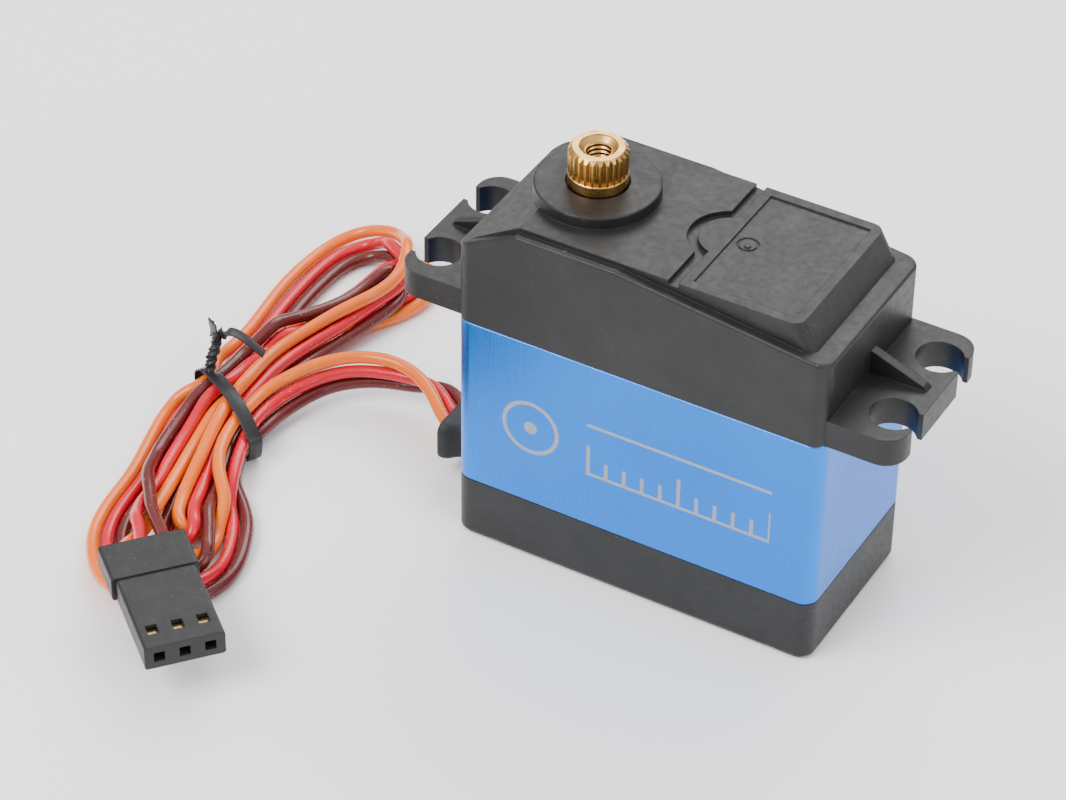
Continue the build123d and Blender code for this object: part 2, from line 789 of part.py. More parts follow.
# centre lines of the conductors as the lead lies coiled beside the case
signal_path = [
    (-6.20, -1.50, 4.20), (-8.00, -1.50, 4.20), (-9.00, -1.50, 4.20), (-10.00, -1.50, 4.20), (-11.00, -1.50, 4.20),
    (-12.00, -1.50, 4.20), (-13.00, -1.50, 4.20), (-14.00, -1.50, 4.20), (-14.93, -1.39, 4.27), (-15.78, -1.12, 4.42),
    (-16.60, -0.76, 4.58), (-17.36, -0.29, 4.75), (-18.10, 0.29, 4.92), (-18.82, 0.91, 5.07), (-19.55, 1.54, 5.18),
    (-20.32, 2.14, 5.26), (-21.14, 2.69, 5.32), (-22.01, 3.17, 5.36), (-22.90, 3.62, 5.40), (-23.88, 3.89, 5.41),
    (-24.87, 4.06, 5.44), (-25.87, 4.13, 5.43), (-26.87, 4.08, 5.39), (-27.86, 3.91, 5.34), (-28.81, 3.62, 5.27),
    (-29.73, 3.22, 5.20), (-30.59, 2.72, 5.12), (-31.39, 2.13, 5.03), (-32.13, 1.46, 4.93), (-32.82, 0.74, 4.81),
    (-33.46, -0.03, 4.67), (-34.06, -0.82, 4.49), (-34.63, -1.62, 4.29), (-35.15, -2.46, 4.07), (-35.60, -3.34, 3.89),
    (-35.93, -4.27, 3.76), (-36.11, -5.25, 3.71), (-36.14, -6.25, 3.74), (-36.11, -7.25, 3.81), (-36.04, -8.25, 3.88),
    (-35.98, -9.25, 3.94), (-35.93, -10.24, 3.97), (-35.88, -11.22, 3.94), (-35.75, -12.18, 3.89), (-35.53, -13.13, 3.85),
    (-35.27, -14.08, 3.83), (-34.97, -15.02, 3.83), (-34.58, -15.93, 3.80), (-34.11, -16.82, 3.72), (-33.56, -17.67, 3.59),
    (-32.93, -18.48, 3.40), (-32.21, -19.22, 3.19), (-31.46, -19.93, 2.92), (-30.82, -20.65, 2.53), (-30.43, -21.46, 2.10),
    (-30.25, -22.29, 1.67), (-30.01, -23.08, 1.26), (-29.65, -23.85, 0.97), (-29.26, -24.66, 0.85), (-28.96, -25.53, 0.85),
    (-28.81, -26.44, 0.95), (-28.85, -27.36, 1.14), (-29.02, -28.25, 1.48), (-29.17, -29.09, 1.99), (-29.08, -29.97, 2.47),
    (-28.85, -30.91, 2.81), (-28.60, -31.88, 3.07), (-28.43, -32.87, 3.29), (-28.41, -33.87, 3.47), (-28.57, -34.85, 3.63),
    (-28.94, -35.77, 3.74), (-29.51, -36.57, 3.78), (-30.26, -37.19, 3.72), (-31.13, -37.58, 3.53), (-32.06, -37.71, 3.23),
    (-32.99, -37.57, 2.87), (-33.88, -37.23, 2.50), (-34.72, -36.72, 2.18), (-35.54, -36.12, 1.93), (-36.32, -35.46, 1.73),
    (-37.06, -34.75, 1.56), (-37.77, -33.99, 1.43), (-38.44, -33.20, 1.30), (-39.08, -32.37, 1.19), (-39.66, -31.51, 1.09),
    (-40.19, -30.63, 1.00), (-40.64, -29.72, 0.92), (-41.03, -28.78, 0.86), (-41.34, -27.81, 0.81), (-41.60, -26.82, 0.79),
    (-41.81, -25.84, 0.78), (-41.97, -24.85, 0.78), (-42.09, -23.86, 0.78), (-42.19, -22.87, 0.79), (-42.31, -21.88, 0.79),
    (-42.46, -20.90, 0.80), (-42.64, -19.93, 0.82), (-42.86, -18.97, 0.84), (-43.10, -18.01, 0.86), (-43.36, -17.06, 0.89),
    (-43.62, -16.10, 0.93), (-43.86, -15.15, 0.97), (-44.10, -14.19, 1.01), (-44.34, -13.22, 1.05), (-44.57, -12.25, 1.09),
    (-44.77, -11.29, 1.12), (-44.89, -10.34, 1.14), (-44.91, -9.47, 1.33), (-44.73, -8.76, 1.80), (-44.20, -8.27, 2.42),
    (-43.40, -7.81, 2.82), (-42.97, -7.05, 3.03), (-42.63, -6.14, 3.21), (-42.56, -5.07, 3.18), (-43.39, -3.71, 2.80),
    (-44.22, -2.34, 2.28), (-44.80, -1.01, 1.80), (-45.11, 0.26, 1.40), (-45.22, 1.47, 1.11), (-45.24, 2.62, 0.94),
    (-45.25, 3.71, 0.85), (-45.29, 4.77, 0.82), (-45.36, 5.80, 0.81), (-45.47, 6.82, 0.80), (-45.60, 7.82, 0.80),
    (-45.74, 8.82, 0.80), (-45.89, 9.81, 0.80), (-46.03, 10.81, 0.80), (-46.17, 11.80, 0.80), (-46.29, 12.80, 0.80),
    (-46.39, 13.79, 0.80), (-46.47, 14.79, 0.80), (-46.52, 15.79, 0.80), (-46.54, 16.80, 0.80), (-46.53, 17.80, 0.80),
    (-46.49, 18.80, 0.79), (-46.42, 19.81, 0.79), (-46.34, 20.81, 0.78), (-46.21, 21.81, 0.78), (-46.04, 22.79, 0.80),
    (-45.76, 23.75, 0.86), (-45.35, 24.64, 0.98), (-44.79, 25.41, 1.17), (-44.07, 26.02, 1.44), (-43.24, 26.42, 1.76),
    (-42.34, 26.59, 2.11), (-41.42, 26.55, 2.48), (-40.51, 26.36, 2.86), (-39.61, 26.04, 3.24), (-38.76, 25.61, 3.62),
    (-37.96, 25.01, 3.98), (-37.21, 24.33, 4.39), (-36.48, 23.64, 4.87), (-35.79, 22.91, 5.38), (-35.20, 22.04, 5.71),
    (-34.71, 21.11, 5.75), (-34.30, 20.18, 5.60), (-33.96, 19.27, 5.41), (-33.72, 18.34, 5.27), (-33.60, 17.38, 5.17),
    (-33.61, 16.39, 5.08), (-33.76, 15.41, 5.00), (-34.02, 14.44, 4.91), (-34.36, 13.50, 4.82), (-34.77, 12.58, 4.73),
    (-35.22, 11.68, 4.64), (-35.67, 10.80, 4.53), (-36.10, 9.91, 4.41), (-36.51, 9.01, 4.28), (-36.89, 8.09, 4.15),
    (-37.23, 7.16, 4.06), (-37.54, 6.20, 4.00), (-37.81, 5.23, 3.97), (-38.06, 4.26, 3.93), (-38.34, 3.30, 3.87),
    (-38.57, 2.33, 3.81), (-38.72, 1.33, 3.80), (-38.79, 0.30, 3.83), (-38.77, -0.73, 3.94), (-38.68, -1.77, 4.08),
    (-38.55, -2.80, 4.20), (-38.43, -3.82, 4.27), (-38.36, -4.83, 4.30), (-38.31, -5.85, 4.32), (-38.23, -6.87, 4.34),
    (-38.11, -7.90, 4.37), (-37.93, -8.93, 4.42), (-37.71, -9.96, 4.46), (-37.48, -11.00, 4.47), (-37.25, -12.03, 4.42),
    (-37.03, -13.03, 4.30), (-36.81, -14.00, 4.16), (-36.57, -14.96, 4.03), (-36.33, -15.89, 3.88), (-36.10, -16.82, 3.72),
    (-35.89, -17.74, 3.55), (-35.69, -18.65, 3.35), (-35.51, -19.56, 3.14), (-35.32, -20.45, 2.93), (-35.13, -21.34, 2.71),
    (-34.88, -22.22, 2.52), (-34.56, -23.09, 2.38), (-34.22, -23.91, 2.33), (-33.91, -24.64, 2.36), (-33.62, -25.19, 2.39),
    (-33.29, -25.53, 2.35), (-32.94, -25.78, 2.24), (-32.54, -25.92, 2.08), (-32.17, -25.92, 1.82), (-31.87, -25.83, 1.49),
    (-31.65, -25.57, 1.19), (-31.52, -25.20, 0.95), (-31.51, -24.77, 0.80), (-31.60, -24.34, 0.78), (-31.79, -23.94, 0.78),
    (-32.18, -23.54, 0.78), (-32.64, -23.01, 0.79), (-33.04, -22.31, 0.79), (-33.37, -21.51, 0.80), (-33.69, -20.67, 0.81),
    (-34.00, -19.80, 0.82), (-34.31, -18.91, 0.84), (-34.64, -18.02, 0.88), (-34.99, -17.14, 0.93), (-35.35, -16.24, 0.99),
    (-35.72, -15.35, 1.07), (-36.08, -14.46, 1.16), (-36.42, -13.58, 1.27), (-36.72, -12.70, 1.37), (-37.01, -11.82, 1.48),
    (-37.27, -10.95, 1.57), (-37.50, -10.08, 1.65), (-37.69, -9.19, 1.70), (-37.86, -8.26, 1.73), (-38.02, -7.29, 1.71),
    (-38.10, -6.29, 1.66), (-38.12, -5.27, 1.58), (-38.19, -4.26, 1.47), (-38.30, -3.28, 1.36), (-38.33, -2.32, 1.25),
    (-38.27, -1.33, 1.15), (-38.16, -0.32, 1.07), (-38.03, 0.69, 1.08), (-37.90, 1.69, 1.11), (-37.74, 2.68, 1.14),
    (-37.56, 3.68, 1.13), (-37.37, 4.68, 1.09), (-37.12, 5.65, 1.04), (-36.82, 6.61, 1.00), (-36.55, 7.59, 0.95),
    (-36.27, 8.57, 0.91), (-35.99, 9.55, 0.87), (-35.68, 10.53, 0.83), (-35.35, 11.49, 0.79), (-35.00, 12.44, 0.78),
    (-34.57, 13.35, 0.78), (-34.07, 14.22, 0.78), (-33.53, 15.06, 0.78), (-33.01, 15.92, 0.78), (-32.58, 16.82, 0.80),
    (-32.25, 17.76, 0.83), (-31.99, 18.72, 0.88), (-31.82, 19.71, 0.92), (-31.79, 20.71, 0.94), (-31.97, 21.72, 0.93),
    (-32.31, 22.69, 0.91), (-32.78, 23.59, 0.90), (-33.37, 24.35, 0.91), (-34.10, 24.92, 0.91), (-34.96, 25.19, 0.90),
    (-35.85, 25.11, 0.87), (-36.66, 24.70, 0.82), (-37.34, 24.03, 0.79), (-37.85, 23.17, 0.76), (-38.18, 22.21, 0.78),
    (-38.39, 21.21, 0.78), (-38.55, 20.20, 0.78), (-38.71, 19.18, 0.78), (-38.88, 18.17, 0.78), (-39.06, 17.17, 0.78),
    (-39.26, 16.17, 0.78), (-39.48, 15.18, 0.78), (-39.70, 14.19, 0.78), (-39.92, 13.20, 0.78), (-40.13, 12.20, 0.78),
    (-40.33, 11.21, 0.83), (-40.49, 10.21, 0.98), (-40.63, 9.21, 1.28), (-40.68, 8.20, 1.68), (-40.58, 7.12, 2.05),
    (-40.36, 6.00, 2.24), (-39.98, 4.93, 2.16), (-39.52, 3.96, 2.16), (-39.13, 2.97, 2.31), (-38.96, 1.93, 2.32),
    (-38.90, 0.90, 2.30), (-38.93, -0.10, 2.33), (-39.01, -1.06, 2.41), (-39.07, -2.00, 2.50), (-39.08, -2.94, 2.61),
    (-39.04, -3.91, 2.75), (-38.99, -4.89, 2.88), (-38.97, -5.90, 2.98), (-39.02, -6.92, 3.07), (-39.11, -7.93, 3.16),
    (-39.17, -8.91, 3.19), (-39.14, -9.88, 3.16), (-39.02, -10.83, 3.09), (-38.88, -11.78, 2.99), (-38.73, -12.72, 2.85),
    (-38.59, -13.67, 2.69), (-38.43, -14.62, 2.56), (-38.27, -15.57, 2.49), (-38.07, -16.54, 2.46), (-37.86, -17.50, 2.42),
    (-37.64, -18.46, 2.38), (-37.42, -19.42, 2.38), (-37.20, -20.38, 2.41), (-36.97, -21.34, 2.45), (-36.75, -22.30, 2.49),
    (-36.52, -23.25, 2.56), (-36.29, -24.19, 2.63), (-36.06, -25.13, 2.72), (-35.80, -26.05, 2.79), (-35.51, -26.95, 2.86),
    (-35.20, -27.83, 2.95), (-34.93, -28.73, 3.01), (-34.75, -29.69, 3.07), (-34.67, -30.69, 3.25), (-34.57, -31.64, 3.61),
    (-34.35, -32.47, 4.08), (-34.05, -33.24, 4.53), (-33.77, -34.07, 4.92), (-33.51, -34.93, 5.32), (-33.24, -35.79, 5.74),
    (-32.73, -36.55, 5.95), (-31.97, -37.20, 5.95), (-30.83, -38.17, 5.95),
]
power_path = [
    (-6.20, 0.00, 4.20), (-8.00, 0.00, 4.20), (-9.00, 0.00, 4.20), (-10.00, 0.00, 4.20), (-11.00, 0.00, 4.20),
    (-12.00, 0.00, 4.20), (-13.00, 0.00, 4.20), (-14.00, 0.00, 4.20), (-14.93, 0.16, 4.22), (-15.78, 0.51, 4.26),
    (-16.59, 0.95, 4.31), (-17.36, 1.48, 4.37), (-18.10, 2.06, 4.42), (-18.84, 2.65, 4.46), (-19.60, 3.18, 4.46),
    (-20.41, 3.63, 4.41), (-21.27, 3.96, 4.32), (-22.17, 4.21, 4.20), (-23.09, 4.40, 4.06), (-24.08, 4.31, 3.97),
    (-25.07, 4.13, 3.95), (-26.04, 3.88, 3.96), (-27.01, 3.59, 3.97), (-27.95, 3.27, 3.94), (-28.88, 2.89, 3.89),
    (-29.77, 2.45, 3.81), (-30.62, 1.94, 3.71), (-31.40, 1.33, 3.60), (-32.11, 0.64, 3.49), (-32.73, -0.13, 3.36),
    (-33.27, -0.96, 3.23), (-33.76, -1.82, 3.09), (-34.19, -2.73, 2.95), (-34.58, -3.66, 2.81), (-34.89, -4.63, 2.68),
    (-35.11, -5.64, 2.60), (-35.21, -6.67, 2.59), (-35.16, -7.71, 2.66), (-35.01, -8.73, 2.77), (-34.83, -9.74, 2.86),
    (-34.60, -10.73, 2.88), (-34.31, -11.70, 2.80), (-33.99, -12.67, 2.70), (-33.65, -13.63, 2.63), (-33.29, -14.59, 2.60),
    (-32.92, -15.53, 2.56), (-32.54, -16.44, 2.47), (-32.13, -17.32, 2.34), (-31.73, -18.17, 2.13), (-31.38, -18.96, 1.78),
    (-30.98, -19.68, 1.36), (-30.45, -20.33, 1.01), (-29.82, -20.99, 0.81), (-29.21, -21.72, 0.78), (-28.70, -22.53, 0.78),
    (-28.24, -23.38, 0.78), (-27.81, -24.26, 0.78), (-27.41, -25.17, 0.78), (-27.05, -26.10, 0.80), (-26.74, -27.05, 0.87),
    (-26.50, -28.02, 1.00), (-26.36, -29.00, 1.19), (-26.34, -29.98, 1.42), (-26.41, -30.95, 1.66), (-26.55, -31.93, 1.88),
    (-26.76, -32.90, 2.05), (-27.05, -33.84, 2.18), (-27.46, -34.74, 2.26), (-27.99, -35.56, 2.29), (-28.67, -36.22, 2.30),
    (-29.48, -36.68, 2.28), (-30.39, -36.86, 2.26), (-31.32, -36.78, 2.23), (-32.22, -36.48, 2.18), (-33.07, -36.03, 2.09),
    (-33.89, -35.50, 1.95), (-34.67, -34.91, 1.80), (-35.41, -34.26, 1.64), (-36.12, -33.58, 1.48), (-36.80, -32.86, 1.33),
    (-37.43, -32.10, 1.19), (-38.03, -31.29, 1.06), (-38.58, -30.44, 0.95), (-39.07, -29.54, 0.87), (-39.49, -28.61, 0.81),
    (-39.84, -27.66, 0.78), (-40.11, -26.69, 0.78), (-40.32, -25.71, 0.78), (-40.47, -24.72, 0.78), (-40.59, -23.73, 0.79),
    (-40.70, -22.73, 0.79), (-40.82, -21.74, 0.80), (-40.96, -20.75, 0.81), (-41.14, -19.77, 0.83), (-41.34, -18.81, 0.86),
    (-41.56, -17.85, 0.89), (-41.78, -16.89, 0.94), (-42.01, -15.93, 0.99), (-42.26, -14.98, 1.05), (-42.54, -14.03, 1.11),
    (-42.83, -13.08, 1.17), (-43.09, -12.13, 1.22), (-43.29, -11.16, 1.26), (-43.40, -10.19, 1.30), (-43.37, -9.26, 1.33),
    (-43.17, -8.39, 1.37), (-42.94, -7.60, 1.42), (-42.72, -6.89, 1.56), (-42.54, -6.21, 1.71), (-42.49, -5.46, 1.78),
    (-42.74, -4.31, 1.55), (-43.11, -2.92, 1.23), (-43.44, -1.56, 1.02), (-43.64, -0.29, 0.93), (-43.73, 0.88, 0.88),
    (-43.74, 1.98, 0.84), (-43.71, 3.02, 0.82), (-43.69, 4.04, 0.81), (-43.72, 5.05, 0.80), (-43.78, 6.06, 0.80),
    (-43.87, 7.06, 0.80), (-43.98, 8.05, 0.80), (-44.10, 9.05, 0.80), (-44.22, 10.04, 0.80), (-44.32, 11.04, 0.80),
    (-44.42, 12.04, 0.80), (-44.50, 13.04, 0.80), (-44.56, 14.04, 0.80), (-44.61, 15.04, 0.80), (-44.64, 16.05, 0.80),
    (-44.66, 17.05, 0.80), (-44.65, 18.06, 0.80), (-44.62, 19.07, 0.79), (-44.54, 20.07, 0.79), (-44.42, 21.07, 0.78),
    (-44.21, 22.06, 0.78), (-43.90, 23.02, 0.78), (-43.45, 23.90, 0.82), (-42.82, 24.63, 0.95), (-42.04, 25.10, 1.21),
    (-41.19, 25.24, 1.61), (-40.37, 25.04, 2.14), (-39.64, 24.59, 2.75), (-38.92, 24.02, 3.34), (-38.11, 23.36, 3.69),
    (-37.26, 22.70, 3.98), (-36.39, 22.10, 4.29), (-35.46, 21.59, 4.30), (-34.62, 21.03, 4.25), (-34.08, 20.26, 4.04),
    (-33.74, 19.38, 3.86), (-33.57, 18.44, 3.76), (-33.59, 17.47, 3.67), (-33.76, 16.50, 3.60), (-34.02, 15.54, 3.53),
    (-34.30, 14.58, 3.44), (-34.56, 13.63, 3.34), (-34.80, 12.67, 3.24), (-35.02, 11.70, 3.16), (-35.23, 10.73, 3.10),
    (-35.44, 9.76, 3.07), (-35.67, 8.79, 3.05), (-35.93, 7.83, 3.04), (-36.20, 6.86, 3.01), (-36.48, 5.90, 2.99),
    (-36.75, 4.93, 2.95), (-37.00, 3.96, 2.93), (-37.22, 2.97, 2.92), (-37.40, 1.98, 2.94), (-37.52, 0.98, 2.96),
    (-37.59, -0.03, 2.99), (-37.64, -1.04, 3.00), (-37.66, -2.05, 3.01), (-37.64, -3.05, 3.02), (-37.58, -4.05, 3.06),
    (-37.52, -5.06, 3.09), (-37.48, -6.07, 3.09), (-37.43, -7.08, 3.09), (-37.33, -8.09, 3.11), (-37.22, -9.11, 3.11),
    (-37.14, -10.14, 3.09), (-37.07, -11.15, 3.03), (-36.96, -12.14, 2.93), (-36.75, -13.09, 2.81), (-36.47, -14.00, 2.69),
    (-36.12, -14.90, 2.59), (-35.74, -15.78, 2.51), (-35.35, -16.67, 2.44), (-34.95, -17.55, 2.39), (-34.59, -18.45, 2.35),
    (-34.26, -19.38, 2.33), (-33.93, -20.34, 2.31), (-33.62, -21.33, 2.30), (-33.26, -22.34, 2.35), (-32.84, -23.33, 2.47),
    (-32.30, -24.20, 2.68), (-31.70, -24.90, 2.87), (-31.23, -25.49, 2.90), (-30.95, -25.98, 2.70), (-30.81, -26.38, 2.40),
    (-30.78, -26.72, 2.10), (-30.90, -27.00, 1.76), (-31.14, -27.20, 1.43), (-31.47, -27.29, 1.15), (-31.87, -27.26, 0.93),
    (-32.28, -27.11, 0.80), (-32.70, -26.86, 0.78), (-33.10, -26.43, 0.78), (-33.37, -25.73, 0.78), (-33.61, -24.88, 0.78),
    (-33.92, -23.99, 0.79), (-34.31, -23.11, 0.79), (-34.70, -22.21, 0.80), (-35.06, -21.28, 0.81), (-35.40, -20.34, 0.82),
    (-35.73, -19.39, 0.84), (-36.08, -18.44, 0.88), (-36.44, -17.50, 0.93), (-36.81, -16.59, 0.99), (-37.18, -15.69, 1.07),
    (-37.54, -14.80, 1.16), (-37.88, -13.90, 1.26), (-38.19, -12.99, 1.37), (-38.48, -12.07, 1.48), (-38.75, -11.15, 1.57),
    (-38.97, -10.22, 1.65), (-39.17, -9.29, 1.69), (-39.35, -8.36, 1.71), (-39.51, -7.44, 1.69), (-39.58, -6.51, 1.65),
    (-39.54, -5.56, 1.58), (-39.64, -4.57, 1.48), (-39.76, -3.57, 1.37), (-39.82, -2.53, 1.25), (-39.77, -1.47, 1.14),
    (-39.66, -0.41, 1.05), (-39.52, 0.63, 0.97), (-39.38, 1.65, 0.91), (-39.23, 2.65, 0.86), (-39.02, 3.67, 0.83),
    (-38.85, 4.69, 0.82), (-38.64, 5.68, 0.82), (-38.36, 6.65, 0.81), (-38.07, 7.62, 0.80), (-37.81, 8.60, 0.79),
    (-37.54, 9.58, 0.78), (-37.25, 10.55, 0.78), (-36.94, 11.51, 0.78), (-36.60, 12.45, 0.78), (-36.23, 13.38, 0.78),
    (-35.85, 14.31, 0.79), (-35.45, 15.22, 0.80), (-35.02, 16.13, 0.81), (-34.56, 17.01, 0.80), (-34.07, 17.90, 0.79),
    (-33.61, 18.80, 0.78), (-33.31, 19.74, 0.78), (-33.28, 20.70, 0.79), (-33.46, 21.54, 0.91), (-33.73, 22.17, 1.20),
    (-34.11, 22.55, 1.58), (-34.58, 22.71, 1.98), (-35.10, 22.67, 2.37), (-35.64, 22.41, 2.69), (-36.19, 21.92, 2.83),
    (-36.78, 21.34, 2.83), (-37.20, 20.60, 2.71), (-37.47, 19.76, 2.52), (-37.65, 18.85, 2.33), (-37.80, 17.91, 2.18),
    (-37.95, 16.94, 2.08), (-38.10, 15.96, 2.03), (-38.26, 14.96, 2.04), (-38.43, 13.95, 2.08), (-38.61, 12.95, 2.15),
    (-38.78, 11.95, 2.20), (-38.96, 10.94, 2.23), (-39.10, 9.91, 2.25), (-39.17, 8.87, 2.25), (-39.15, 7.80, 2.33),
    (-39.06, 6.76, 2.65), (-39.07, 5.77, 3.16), (-39.40, 4.80, 3.53), (-39.88, 3.86, 3.58), (-40.27, 2.99, 3.27),
    (-40.36, 2.10, 2.92), (-40.30, 1.17, 2.83), (-40.21, 0.22, 3.03), (-40.16, -0.78, 3.32), (-40.09, -1.81, 3.58),
    (-39.99, -2.88, 3.80), (-39.89, -3.97, 3.99), (-39.83, -5.07, 4.12), (-39.86, -6.16, 4.23), (-40.07, -7.20, 4.25),
    (-40.34, -8.18, 4.14), (-40.54, -9.11, 3.92), (-40.60, -9.96, 3.57), (-40.53, -10.77, 3.20), (-40.41, -11.63, 2.97),
    (-40.28, -12.54, 2.85), (-40.13, -13.47, 2.72), (-39.98, -14.42, 2.60), (-39.82, -15.39, 2.51), (-39.65, -16.36, 2.45),
    (-39.47, -17.33, 2.42), (-39.27, -18.30, 2.40), (-39.03, -19.25, 2.40), (-38.76, -20.19, 2.36), (-38.51, -21.14, 2.31),
    (-38.32, -22.12, 2.26), (-38.17, -23.12, 2.29), (-38.01, -24.11, 2.43), (-37.79, -25.06, 2.66), (-37.47, -25.95, 2.95),
    (-37.09, -26.78, 3.26), (-36.71, -27.59, 3.59), (-36.33, -28.39, 3.94), (-35.86, -29.16, 4.34), (-35.23, -29.86, 4.71),
    (-34.47, -30.55, 4.96), (-33.79, -31.30, 5.07), (-33.25, -32.10, 5.17), (-32.70, -32.86, 5.37), (-32.09, -33.58, 5.66),
    (-31.46, -34.29, 5.95), (-30.70, -34.94, 5.95), (-29.94, -35.59, 5.95), (-29.18, -36.24, 5.95),
]
